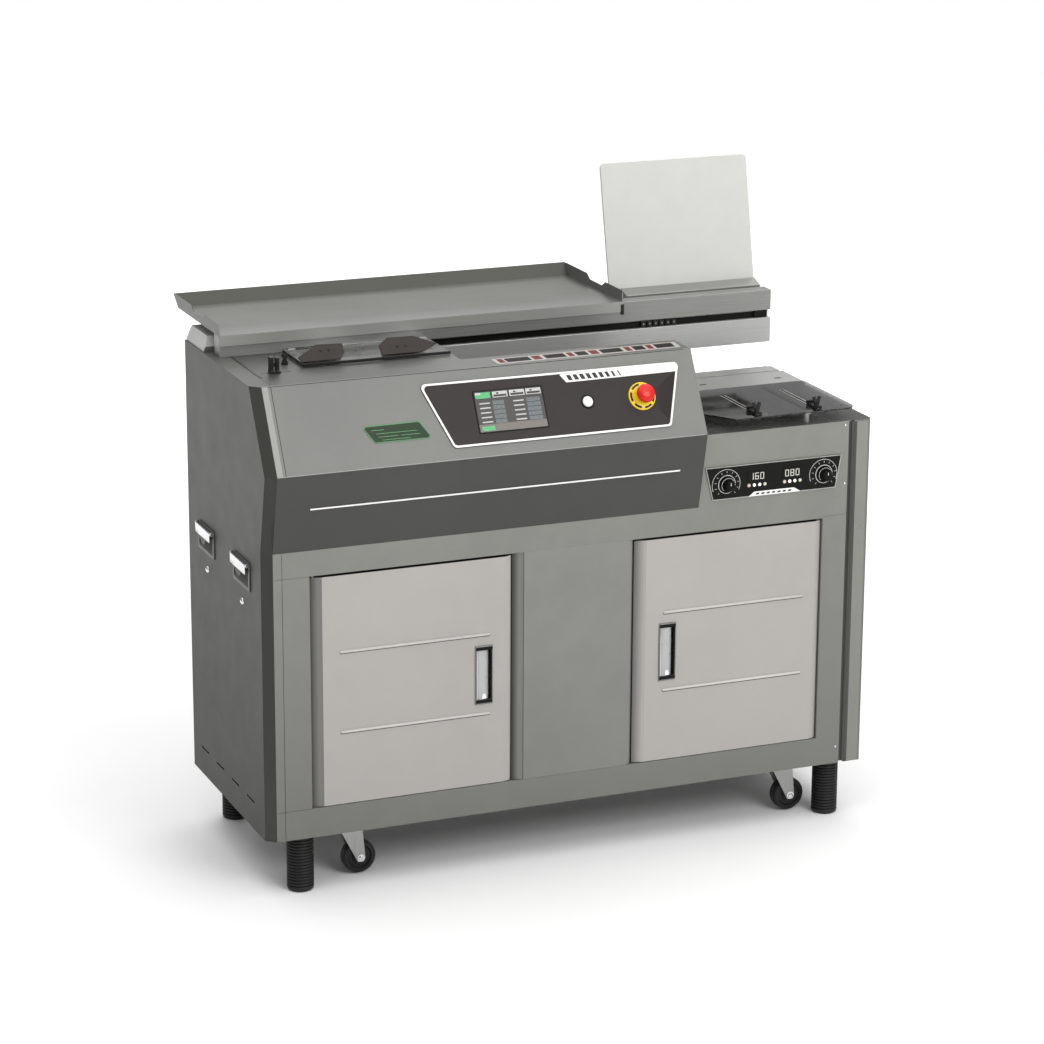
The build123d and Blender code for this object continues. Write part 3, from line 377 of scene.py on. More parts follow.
M_WHITE_PL = plastic("white_plastic", srgb(235, 234, 230), 0.22, 0.1, var=0.02, coat=0.4)
M_YELLOW = plastic("yellow_plastic", srgb(238, 200, 24), 0.34, 0.2, var=0.04, coat=0.1)
M_RED = plastic("red_plastic", srgb(208, 22, 18), 0.34, 0.15, var=0.05, coat=0.15)
M_RUBBER = plastic("foot_rubber", srgb(24, 24, 24), 0.45, 1.0)
M_TYRE = plastic("tyre_rubber", srgb(22, 22, 22), 0.5, 1.0)
M_BOARD = plastic("white_board", srgb(198, 199, 194), 0.42, 0.15, var=0.02)
M_CLEAR = clear("clear_plastic", (0.86, 0.88, 0.88))
M_SMOKE = clear("smoked_acrylic", (0.30, 0.30, 0.30), 0.05)
M_TINT = plastic("tinted_acrylic", srgb(52, 46, 43), 0.34, 0.1, spec=0.2)
M_SCREEN = plastic("screen_black", srgb(18, 19, 22), 0.2, 0.05)


def side_material():
    """Left side paint with painted shade: much darker towards the bottom, and the folded bevel at the front corner
    darker, picked by which way the face points.
    """
    m = Mat("side_paint")
    v = m.coord()
    big = m.noise(v, 2.3, 5, 0.55)
    mid = m.noise(v, 19.0, 6, 0.6)
    fine = m.noise(v, 900.0, 2, 0.5)
    c, d = SIDE_SHADE_C, srgb(50, 50, 46)
    # painted shade: the front-corner bevel darker, picked by which way the face points
    n = m.sep(m.geom("True Normal"))
    edge = m.math("MULTIPLY", m.mapr(n[1], -0.35, -0.5, 0.0, 1.0), m.mapr(n[0], -0.3, -0.45, 0.0, 1.0))
    col = m.mix(m.mapr(big, 0.3, 0.7), dim(c, 0.9), dim(c, 1.1))
    col = m.mix(m.mapr(mid, 0.45, 0.75, 0.0, 0.20), col, dim(c, 1.12))
    # painted shade: much darker towards the bottom
    col = m.mix(m.mapr(m.sep(v)[2], 0.10, 0.95, 1.0, 0.0), col, dim(c, 0.16))
    col = m.mix(edge, col, m.mix(m.mapr(big, 0.3, 0.7), dim(d, 0.92), dim(d, 1.08)))
    z = m.sep(v)[2]
    low = m.mapr(z, 0.10, 0.35, 0.05, 0.0)
    col = m.mix(m.math("MULTIPLY", low, m.mapr(mid, 0.3, 0.7)), col, (0.32, 0.30, 0.27))
    m.color(col)
    m.rough(m.mapr(mid, 0.25, 0.75, 0.42, 0.50))
    m.set(Specular_IOR_Level=0.3)
    m.bump(fine, 0.10, 0.0006)
    return m.m


M_SIDE = side_material()
# painted light: the left and front bevels lighter than the rest of the block
M_BLOCK = powder("block_paint", srgb(118, 118, 115), 0.36, shades=(((("x", -0.3, -0.6),), srgb(190, 190, 187)), ((("y", -0.3, -0.6), ("z", 0.2, 0.4)), srgb(196, 196, 192))))


def set_mat(node, mat):
    o = NODES[node]
    if not o.material_slots:
        o.data.materials.append(mat)
    for s in o.material_slots:
        s.material = mat
    return o


def soften(node, width=0.0008, segments=2, angle=35.0):
    """Rounds a CAD node's edges with modifiers only."""
    o = NODES[node]
    w = o.modifiers.new("weld", "WELD")
    w.merge_threshold = 0.00002
    b = o.modifiers.new("bevel", "BEVEL")
    b.width = width
    b.segments = segments
    b.limit_method = "ANGLE"
    b.angle_limit = math.radians(angle)
    b.use_clamp_overlap = True
    b.harden_normals = False
    return o


# ------------------------------------------------------------------ mesh helpers
def new_obj(name, verts, faces, mat, smooth=False):
    me = bpy.data.meshes.new(name)
    me.from_pydata([tuple(v) for v in verts], [], faces)
    me.validate()
    bm = bmesh.new()
    bm.from_mesh(me)
    bmesh.ops.recalc_face_normals(bm, faces=bm.faces)
    bm.to_mesh(me)
    bm.free()
    o = bpy.data.objects.new(name, me)
    bpy.context.scene.collection.objects.link(o)
    me.materials.append(mat)
    if smooth:
        me.shade_smooth()
    return o


def bevel(o, width=0.0006, segments=2, angle=30.0, smooth=True):
    b = o.modifiers.new("bevel", "BEVEL")
    b.width = width
    b.segments = segments
    b.limit_method = "ANGLE"
    b.angle_limit = math.radians(angle)
    if smooth:
        o.data.shade_smooth()
        o.data.set_sharp_from_angle(angle=math.radians(50))
    return o


def extr(name, pts, vec, mat, body, bev=0.0005, seg=2):
    """A prism: pts is a planar outline, vec the way it is extruded, in metres."""
    n = len(pts)
    vec = Vector(vec)
    verts = [Vector(p) for p in pts] + [Vector(p) + vec for p in pts]
    faces = [tuple(range(n))[::-1], tuple(range(n, 2 * n))]
    faces += [(i, (i + 1) % n, n + (i + 1) % n, n + i) for i in range(n)]
    o = new_obj(name, verts, faces, mat)
    if bev:
        bevel(o, bev, seg)
    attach(o, body)
    return o


def ring(name, outer, inner, vec, mat, body, bev=0.0):
    """A flat frame between two outlines with the same number of points."""
    n = len(outer)
    vec = Vector(vec)
    verts = [Vector(p) for p in outer] + [Vector(p) for p in inner]
    verts += [v + vec for v in verts[:2 * n]]
    faces = []
    for i in range(n):
        j = (i + 1) % n
        faces += [(i, j, n + j, n + i), (2 * n + i, 2 * n + j, 3 * n + j, 3 * n + i),
                  (i, j, 2 * n + j, 2 * n + i), (n + i, n + j, 3 * n + j, 3 * n + i)]
    o = new_obj(name, verts, faces, mat)
    if bev:
        bevel(o, bev, 2)
    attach(o, body)
    return o


def box(name, x0, x1, y0, y1, z0, z1, mat, body, bev=0.0005, seg=2):
    return extr(name, [P(x0, y0, z0), P(x1, y0, z0), P(x1, y1, z0), P(x0, y1, z0)], (0, 0, (z1 - z0) / 1000), mat, body, bev, seg)


def lathe(name, prof, origin, axis, mat, body, seg=48, sharp=35.0, bev=0.0):
    """Revolves (radius, height) in mm about axis from origin (metres)."""
    axis = Vector(axis).normalized()
    a = axis.orthogonal().normalized()
    b = axis.cross(a)
    verts, faces = [], []
    idx = []
    for r, t in prof:
        if r < 1e-6:
            verts.append(origin + axis * (t / 1000))
            idx.append([len(verts) - 1] * seg)
        else:
            row = []
            for k in range(seg):
                th = 2 * math.pi * k / seg
                verts.append(origin + axis * (t / 1000) + (a * math.cos(th) + b * math.sin(th)) * (r / 1000))
                row.append(len(verts) - 1)
            idx.append(row)
    for i in range(len(prof) - 1):
        for k in range(seg):
            q = [idx[i][k], idx[i][(k + 1) % seg], idx[i + 1][(k + 1) % seg], idx[i + 1][k]]
            u = []
            for v in q:
                if v not in u:
                    u.append(v)
            if len(u) >= 3:
                faces.append(tuple(u))
    o = new_obj(name, verts, faces, mat)
    o.data.shade_smooth()
    o.data.set_sharp_from_angle(angle=math.radians(sharp))
    if bev:
        b_ = o.modifiers.new("bevel", "BEVEL")
        b_.width = bev
        b_.segments = 2
        b_.limit_method = "ANGLE"
        b_.angle_limit = math.radians(sharp)
    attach(o, body)
    return o


def round2(pts, r, seg=6):
    """Rounds the corners of a 2D outline; r is one radius or one per corner."""
    n = len(pts)
    rs = [r] * n if isinstance(r, (int, float)) else r
    out = []
    for i in range(n):
        p0, p, p1 = Vector(pts[i - 1]), Vector(pts[i]), Vector(pts[(i + 1) % n])
        a, b = (p0 - p).normalized(), (p1 - p).normalized()
        ang = a.angle(b)
        if rs[i] <= 0:
            out += [p.copy() for _ in range(seg + 1)]
            continue
        d = rs[i] / math.tan(ang / 2)
        c = p + (a + b).normalized() * (rs[i] / math.sin(ang / 2))
        s, e = p + a * d - c, p + b * d - c
        tot = s.angle_signed(e)
        for k in range(seg + 1):
            th = -tot * k / seg
            out.append(c + Vector((s.x * math.cos(th) - s.y * math.sin(th), s.x * math.sin(th) + s.y * math.cos(th))))
    return [(v.x, v.y) for v in out]


def inset2(pts, d):
    """Moves every side of a 2D outline inwards by d."""
    n = len(pts)
    area = sum(pts[i][0] * pts[(i + 1) % n][1] - pts[(i + 1) % n][0] * pts[i][1] for i in range(n))
    sg = 1.0 if area > 0 else -1.0
    lines = []
    for i in range(n):
        a, b = Vector(pts[i]), Vector(pts[(i + 1) % n])
        u = (b - a).normalized()
        nrm = Vector((-u.y, u.x)) * sg
        lines.append((a + nrm * d, u))
    out = []
    for i in range(n):
        (p, u), (q, w) = lines[i - 1], lines[i]
        det = u.x * (-w.y) + w.x * u.y
        t = ((q.x - p.x) * (-w.y) + w.x * (q.y - p.y)) / det
        out.append((p.x + t * u.x, p.y + t * u.y))
    return out


def slope_out(pts, h):
    return [on_slope(x, s, h) for x, s in pts]


def front_out(pts, y):
    return [P(x, y, z) for x, z in pts]


# ------------------------------------------------------------------ camera, light, floor
AZ, PITCH, ROLL, F_PX = math.radians(-22.381), math.radians(16.26), math.radians(0.288), 3419.03
cam_data = bpy.data.cameras.new("camera")
cam = bpy.data.objects.new("camera", cam_data)
bpy.context.scene.collection.objects.link(cam)
fwd = Vector((-math.sin(AZ) * math.cos(PITCH), math.cos(AZ) * math.cos(PITCH), -math.sin(PITCH)))
right = fwd.cross(Vector((0, 0, 1))).normalized()
up = right.cross(fwd).normalized()
R = right * math.cos(ROLL) + up * math.sin(ROLL)
U = up * math.cos(ROLL) - right * math.sin(ROLL)
cam.matrix_world = Matrix(((R.x, U.x, -fwd.x, 0), (R.y, U.y, -fwd.y, 0), (R.z, U.z, -fwd.z, 0), (0, 0, 0, 1)))
cam.location = P(-1839.7, -5710.9, 2375.6)
cam_data.sensor_width = 36.0
cam_data.lens = F_PX / 1044.0 * 36.0
cam_data.clip_start, cam_data.clip_end = 0.1, 100.0
bpy.context.scene.camera = cam
bpy.context.scene.view_settings.view_transform = "Standard"

floor_mat = Mat("floor_paint")
fv = floor_mat.coord()
floor_mat.color(floor_mat.mix(floor_mat.mapr(floor_mat.noise(fv, 3.0, 4, 0.5), 0.3, 0.7), (0.93, 0.93, 0.93), (0.95, 0.95, 0.95)))
floor_mat.rough(0.65)
f_len = floor_mat.nt.nodes.new("ShaderNodeVectorMath")
f_len.operation = "LENGTH"
floor_mat.nt.links.new(fv, f_len.inputs[0])
floor_mat.b.inputs["Emission Color"].default_value = (1.0, 1.0, 1.0, 1.0)
floor_mat.nt.links.new(floor_mat.mapr(f_len.outputs["Value"], 1.6, 4.2, 0.0, 0.42), floor_mat.b.inputs["Emission Strength"])
floor = new_obj("floor", [(6.0 * math.cos(math.pi * k / 32), 6.0 * math.sin(math.pi * k / 32), 0) for k in range(64)], [tuple(range(64))], floor_mat.m)

world = bpy.data.worlds.new("world")
bpy.context.scene.world = world
world.use_nodes = True
wt = world.node_tree
bg = wt.nodes["Background"]
bg.inputs[0].default_value = (1.0, 1.0, 1.0, 1.0)
w_co = wt.nodes.new("ShaderNodeTexCoord")
w_sep = wt.nodes.new("ShaderNodeSeparateXYZ")
wt.links.new(w_co.outputs["Generated"], w_sep.inputs[0])
w_x = wt.nodes.new("ShaderNodeMapRange")
w_z = wt.nodes.new("ShaderNodeMapRange")
for node_, out_, vals in ((w_x, 0, (-1.0, 1.0, 0.16, 0.42)), (w_z, 2, (0.0, 1.0, 0.0, 0.30))):
    wt.links.new(w_sep.outputs[out_], node_.inputs["Value"])
    for k_, v_ in zip(("From Min", "From Max", "To Min", "To Max"), vals):
        node_.inputs[k_].default_value = v_
w_add = wt.nodes.new("ShaderNodeMath")
wt.links.new(w_x.outputs[0], w_add.inputs[0])
wt.links.new(w_z.outputs[0], w_add.inputs[1])
w_path = wt.nodes.new("ShaderNodeLightPath")
w_max = wt.nodes.new("ShaderNodeMath")
w_max.operation = "MAXIMUM"
wt.links.new(w_add.outputs[0], w_max.inputs[0])
wt.links.new(w_path.outputs["Is Camera Ray"], w_max.inputs[1])
wt.links.new(w_max.outputs[0], bg.inputs[1])


def area(name, loc, target, size, energy, color=(1, 1, 1)):
    d = bpy.data.lights.new(name, "AREA")
    d.shape = "RECTANGLE"
    d.size, d.size_y = size
    d.energy = energy
    d.color = color
    o = bpy.data.objects.new(name, d)
    bpy.context.scene.collection.objects.link(o)
    o.location = loc
    o.rotation_mode = "QUATERNION"
    o.rotation_quaternion = (Vector(target) - Vector(loc)).to_track_quat("-Z", "Y")
    return o


area("key", (1.3, -4.5, 3.4), (0, 0, 0.7), (2.8, 2.2), 113)
area("top", (0.3, 0.4, 5.4), (0.3, 0.4, 0), (9.0, 9.0), 330)
area("fill", (-4.2, -1.8, 2.2), (0, 0, 0.6), (2.0, 2.4), 18)
area("back", (1.0, 4.6, 3.4), (0, 0, 0.6), (3.0, 2.0), 30)

# ------------------------------------------------------------------ materials on the CAD nodes
for node, mat, width in (
        ("front_frame", M_FRONT, 0.0007), ("left_side_panel", M_SIDE, 0.0007), ("right_side_panel", M_RIGHT, 0.0007),
        ("rear_panel", M_REAR, 0.0), ("base_pan", M_BASE, 0.0), ("equipment_shelf", M_STEEL, 0.0),
        ("centre_panel", M_CENTRE, 0.0007), ("platform_deck", M_PLATFORM, 0.0006), ("top_deck", M_DECK, 0.0005),
        ("end_block", M_BLOCK, 0.0012), ("upper_beam", M_BEAM, 0.0008), ("lower_beam", M_JAW, 0.0008),
        ("gantry_rear_beam", M_BEAM, 0.0008), ("console_shell", M_CONSOLE, 0.0006), ("console_lower_panel", M_LOW_SHADE, 0.0005),
        ("control_fascia", M_FASCIA, 0.0005), ("touch_screen", M_SCREEN, 0.0005), ("estop_collar", M_YELLOW, 0.0006),
        ("heater_plate", M_BLACK_SAT, 0.0004), ("paper_tray", M_TRAY, 0.0004), ("guard_hinge", M_STEEL, 0.0003),
        ("latch_bodies", M_CHROME, 0.0005), ("guide_rods", M_ROD, 0.0), ("left_door", M_DOOR_L, 0.0008),
        ("right_door", M_DOOR_R, 0.0008), ("left_door_handle", M_CHROME, 0.0006), ("right_door_handle", M_CHROME, 0.0006),
        ("clamp_guard", M_CLEAR, 0.0005), ("guard_tabs", M_TINT, 0.0004), ("rear_jaw", M_BEAM, 0.0008),
        ("stop_sheet", M_BOARD, 0.0008), ("shuttle_frame", M_STEEL, 0.0), ("glue_tank", M_STEEL, 0.0005),
        ("glue_roller", M_ROD, 0.0), ("milling_cutter", M_STEEL, 0.0), ("cover_table", M_TABLE, 0.0005),
        ("cover_table_acrylic", M_SMOKE, 0.0004), ("rear_nip_plate", M_TABLE, 0.0005), ("cover_guide_1", M_BLACK, 0.0006),
        ("cover_guide_2", M_BLACK, 0.0006), ("side_gauge", M_BLACK, 0.0006), ("wing_knob", M_BLACK, 0.0005),
        ("start_button", M_WHITE_PL, 0.0008), ("estop_button", M_RED, 0.001), ("heater_knob_left", M_BLACK, 0.0006),
        ("heater_knob_right", M_BLACK, 0.0006), ("latch_flap_front", M_CHROME, 0.0004), ("latch_flap_rear", M_CHROME, 0.0004)):
    set_mat(node, mat)
    if width:
        soften(node, width)
for k in ("front_left", "front_right", "rear_left", "rear_right"):
    set_mat("foot_" + k, M_RUBBER)
    set_mat("caster_fork_" + k, M_STEEL_Z)
    soften("caster_fork_" + k, 0.0005)
    set_mat("caster_wheel_" + k, M_TYRE)

# ------------------------------------------------------------------ control fascia
FASCIA = [(318.5, 22.5), (848, 24), (808, 149.5), (366.5, 150)]
ring("fascia_border", slope_out(round2(inset2(FASCIA, 0.5), 8.6, 8), 2.0), slope_out(round2(inset2(FASCIA, 4.4), 7.6, 8), 2.0),
     N_SLOPE * 0.00028, M_WHITE, "chassis")
band = round2([(600, 28.5), (842, 27.2), (837, 43.2), (611.5, 45.0)], [1.0, 4.0, 3.0, 4.0], 5)
extr("fascia_band", slope_out(band, 2.0), N_SLOPE * 0.00034, M_WHITE, "chassis", 0)
for i in range(9):
    x = 613.0 + 13.1 * i
    w = (8.2, 8.2, 8.2, 8.0, 7.8, 7.2, 6.4, 4.4, 2.6)[i]
    extr("fascia_bar_%d" % i, slope_out([(x, 31.0), (x + w, 31.0), (x + w + 4.5, 41.5), (x + 4.5, 41.5)], 2.3),
         N_SLOPE * 0.0002, M_BLACK, "chassis", 0)

# touch screen: bezel, picture area and plain blocks in place of its contents
M_LCD = plastic("lcd_ground", srgb(46, 40, 40), 0.2, 0.05)
M_LCD_LOW = plastic("lcd_ground_low", srgb(104, 98, 92), 0.2, 0.05)
M_LCD_FIELD = lit("lcd_field", srgb(78, 86, 88), 0.05)
M_LCD_WHITE = lit("lcd_white", srgb(176, 176, 172), 0.08)
M_LCD_GREEN = lit("lcd_green", srgb(58, 158, 92), 0.15)
M_LCD_DARK = plastic("lcd_dark", srgb(26, 22, 23), 0.2, 0.05)


def tile(name, x0, x1, s0, s1, mat, h=2.62, t=0.10):
    return extr(name, slope_out([(x0, s0), (x1, s0), (x1, s1), (x0, s1)], h), N_SLOPE * (t / 1000), mat, "chassis", 0)


tile("lcd_ground", 423, 558.5, 47.5, 125.5, M_LCD)
tile("lcd_low", 423, 558.5, 111, 125.5, M_LCD_LOW, 2.72)
tile("lcd_top", 423, 558.5, 47.5, 62.5, M_LCD_DARK, 2.72)
for i, x in enumerate((425.0, 459.5, 493.5, 526.5)):
    w = 30.0
    tile("lcd_tab_%d" % i, x, x + w, 49.5, 61.0, M_LCD_GREEN if i == 0 else M_LCD_WHITE, 2.82)
    if i:
        tile("lcd_tab_in_%d" % i, x + 2.0, x + w - 2.0, 55.5, 59.5, M_LCD_DARK, 2.92)
        tile("lcd_tab_dot_%d" % i, x + 8.0, x + 12.5, 51.5, 54.6, M_LCD_DARK, 2.92)
    else:
        tile("lcd_tab_in_0", x, x + 11.0, 49.5, 53.8, M_LCD_WHITE, 2.92)
for r in range(5):
    s = 67.0 + 9.0 * r
    for c, x in enumerate((429.0, 497.0)):
        tile("lcd_label_%d_%d" % (c, r), x + 1.5, x + 22.5, s + 2.6, s + 4.9, M_LCD_WHITE, 2.74)
        tile("lcd_field_%d_%d" % (c, r), x + 28.0, x + (51.0 if c == 0 else 55.0), s, s + 7.4, M_LCD_FIELD, 2.74)
tile("lcd_button", 427.5, 453.5, 115.0, 123.2, M_LCD_GREEN, 2.84)
ring("lcd_rim", slope_out([(420.8, 45.3), (560.7, 45.3), (560.7, 127.7), (420.8, 127.7)], 2.6),
     slope_out([(423, 47.5), (558.5, 47.5), (558.5, 125.5), (423, 125.5)], 2.6), N_SLOPE * 0.0006, M_BLACK_SAT, "chassis")

# start button and emergency stop
C_START, C_STOP = on_slope(647, 86), on_slope(758, 86)
o = lathe("start_cap", [(0, 6.4), (4.0, 6.3), (7.2, 5.9), (9.2, 5.0), (10.2, 3.8), (10.5, 2.4), (10.5, -6.5), (13, -6.5), (13, -9), (0, -9)],
          C_START, N_SLOPE, M_WHITE_PL, "start_body", 48, 50)
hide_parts("start_button")
lathe("start_bezel", [(10.7, 2.0), (10.7, 3.1), (11.2, 3.6), (12.6, 3.5), (13.6, 2.6), (13.8, 2.0), (10.7, 2.0)], C_START, N_SLOPE, M_BLACK_SAT,
      "chassis", 48, 60)
o = lathe("estop_dish", [(27.2, 2.0), (27.2, 5.2), (26.4, 6.0), (21.5, 6.4), (18.8, 6.9), (17.4, 10.2), (16.0, 11.0), (8.4, 11.0),
                         (8.2, 10.6), (8.2, -15.8), (10.8, -15.8), (10.8, 2.0), (27.2, 2.0)], C_STOP, N_SLOPE, M_YELLOW, "chassis", 64, 40)
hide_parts("estop_collar")
o = lathe("estop_head", [(0, 33.8), (6, 33.5), (11.2, 32.6), (14.8, 30.8), (17.0, 28.4), (17.9, 25.6), (17.9, 23.2), (17.0, 21.6),
                         (14.0, 20.4), (13.0, 17.2), (8.0, 17.0), (8.0, -14.0), (0, -14.0)], C_STOP, N_SLOPE, M_RED, "estop_body",
          64, 45)
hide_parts("estop_button")
# plain arc blocks round the yellow dish
for k, (d0, d1) in enumerate(((98, 142), (158, 202), (218, 256), (272, 310), (326, 352))):
    arc_a, arc_b = [], []
    for t_ in range(9):
        a = math.radians(d0 + (d1 - d0) * t_ / 8)
        arc_a.append((758 + 20.9 * math.cos(a), 86 - 20.9 * math.sin(a)))
        arc_b.append((758 + 24.9 * math.cos(a), 86 - 24.9 * math.sin(a)))
    extr("estop_mark_%d" % k, slope_out(arc_a + arc_b[::-1], 6.05), N_SLOPE * 0.0006, M_BLACK, "chassis", 0)

# small green-edged plate at the left of the slope
LAB = [(194, 92), (308, 91), (329, 126), (215, 126)]
M_GREEN_D = plastic("label_dark", srgb(46, 62, 46), 0.4, 0.2, spec=0.15)
# faint painted glow on the label's green edge and lines
M_GREEN_L = lit("label_green", srgb(52, 116, 58), 0.03)
lab_o, lab_i = round2(LAB, 5, 5), round2(inset2(LAB, 2.0), 3.4, 5)
extr("label_plate", slope_out(lab_o, 0.0), N_SLOPE * 0.0006, M_GREEN_D, "chassis", 0)
ring("label_edge", slope_out(lab_o, 0.6), slope_out(lab_i, 0.6), N_SLOPE * 0.0002, M_GREEN_L, "chassis")
for k, (a, b, t_) in enumerate(((212, 236, 100.5), (219, 300, 107.5), (224, 262, 114.0), (268, 305, 114.0), (230, 286, 120.0))):
    extr("label_line_%d" % k, slope_out([(a, t_), (b, t_), (b + 1, t_ + 1.3), (a + 1, t_ + 1.3)], 0.6), N_SLOPE * 0.0002, M_GREEN_L,
         "chassis", 0)

# edges and seams of the slope; the light end strip and the ridge line are painted highlights on the folded edges
M_EDGE_HIGHLIGHT = powder("edge_highlight", srgb(140, 141, 136), 0.34)
M_SEAM_AND_SHADOW = plastic("seam_and_shadow_dark", srgb(44, 44, 42), 0.5, 0.2, spec=0.1)
extr("slope_end_strip", slope_out([(19.4, 1.0), (30.4, 1.0), (30.4, SL - 1.2), (19.4, SL - 1.2)], 0.0), N_SLOPE * 0.00015, M_EDGE_HIGHLIGHT, "chassis", 0)
extr("slope_end_seam", slope_out([(35.9, 1.0), (36.9, 1.0), (36.9, SL - 1.2), (35.9, SL - 1.2)], 0.0), N_SLOPE * 0.00015, M_SEAM_AND_SHADOW, "chassis", 0)
extr("slope_top_seam", slope_out([(31.0, 0.5), (862.0, 0.5), (862.0, 1.6), (31.0, 1.6)], 0.0), N_SLOPE * 0.00015, M_SEAM_AND_SHADOW, "chassis", 0)
extr("ridge_line", slope_out([(19.4, SL - 1.9), (873.0, SL - 1.9), (873.0, SL - 0.6), (19.4, SL - 0.6)], 0.0), N_SLOPE * 0.00015, M_EDGE_HIGHLIGHT, "chassis", 0)

# accent stripe on the lower panel
extr("accent_stripe", [on_low(85.8, 68.8, 1.2), on_low(828.7, 68.8, 1.2), on_low(828.7, 72.0, 1.2), on_low(85.8, 72.0, 1.2)],
     N_LOW * 0.0003, M_WHITE, "chassis", 0)

# ------------------------------------------------------------------ heater control
HP = [(891, 641), (1184, 641), (1172, 575), (907, 575)]
M_PRINT = plastic("grey_print", srgb(176, 176, 172), 0.35, 0.2)
M_LINE = plastic("line_print", srgb(190, 190, 186), 0.4, 0.2)
FY = Vector((0, -1, 0))
ring("heater_border", front_out(inset2(HP, 0.2), -2.0), front_out(inset2(HP, 1.7), -2.0), FY * 0.0003, M_PRINT, "chassis")
bump_ = round2([(996, 584.5), (1082, 584.5), (1096, 575.6), (984, 575.6)], [5, 5, 0.4, 0.4], 5)
extr("heater_skirt", front_out(bump_, -2.0), FY * 0.0004, M_WHITE, "chassis", 0)
for k in range(7):
    x = 999 + 11.5 * k
    extr("heater_skirt_mark_%d" % k, front_out([(x, 578.2), (x + 6.2, 578.2), (x + 8.2, 581.6), (x + 2.0, 581.6)], -2.4), FY * 0.0002,
         M_BLACK, "chassis", 0)
SEG = {"0": "abcdef", "1": "bc", "2": "abged", "3": "abgcd", "4": "fgbc", "5": "afgcd", "6": "afgedc", "7": "abc", "8": "abcdefg", "9": "abfgcd"}


def digit(name, ch, x, z, w, h, mat):
    t = 1.5
    bars = {"a": (x, x + w, z + h - t, z + h), "d": (x, x + w, z, z + t), "g": (x, x + w, z + h / 2 - t / 2, z + h / 2 + t / 2),
            "f": (x, x + t, z + h / 2, z + h), "b": (x + w - t, x + w, z + h / 2, z + h), "e": (x, x + t, z, z + h / 2),
            "c": (x + w - t, x + w, z, z + h / 2)}
    for s in SEG[ch]:
        x0, x1, z0, z1 = bars[s]
        box("%s_%s" % (name, s), x0, x1, -3.16, -3.0, z0, z1, mat, "chassis", 0)


M_DIGIT = lit("digit_lamp", srgb(196, 196, 188), 0.25)
for g, (x, z, txt) in enumerate(((985.5, 609, "160"), (1061.5, 608.5, "080"))):
    for i, ch in enumerate(txt):
        digit("digit_%d_%d" % (g, i), ch, x + 11.2 * i, z, 8.0, 13.5, M_DIGIT)
M_LED = {"r": lit("led_red", srgb(206, 170, 160), 0.5), "w": lit("led_white", srgb(250, 250, 250), 1.2), "g": lit("led_green", srgb(186, 196, 160), 0.5)}
for i, x in enumerate((984.3, 995.7, 1007.2, 1018.6, 1060.7, 1071.9, 1083.0, 1094.2)):
    lathe("led_%d" % i, [(0, 4.4), (1.5, 4.1), (2.4, 3.4), (2.9, 2.6), (2.9, 2.0), (0, 2.0)], P(x, 0, 598), FY, M_LED["rwwgrwwg"[i]], "chassis",
          20, 60)
    lathe("led_rim_%d" % i, [(2.9, 2.0), (2.9, 2.7), (3.5, 2.7), (3.6, 2.0), (2.9, 2.0)], P(x, 0, 598), FY, M_PRINT, "chassis", 20, 40)
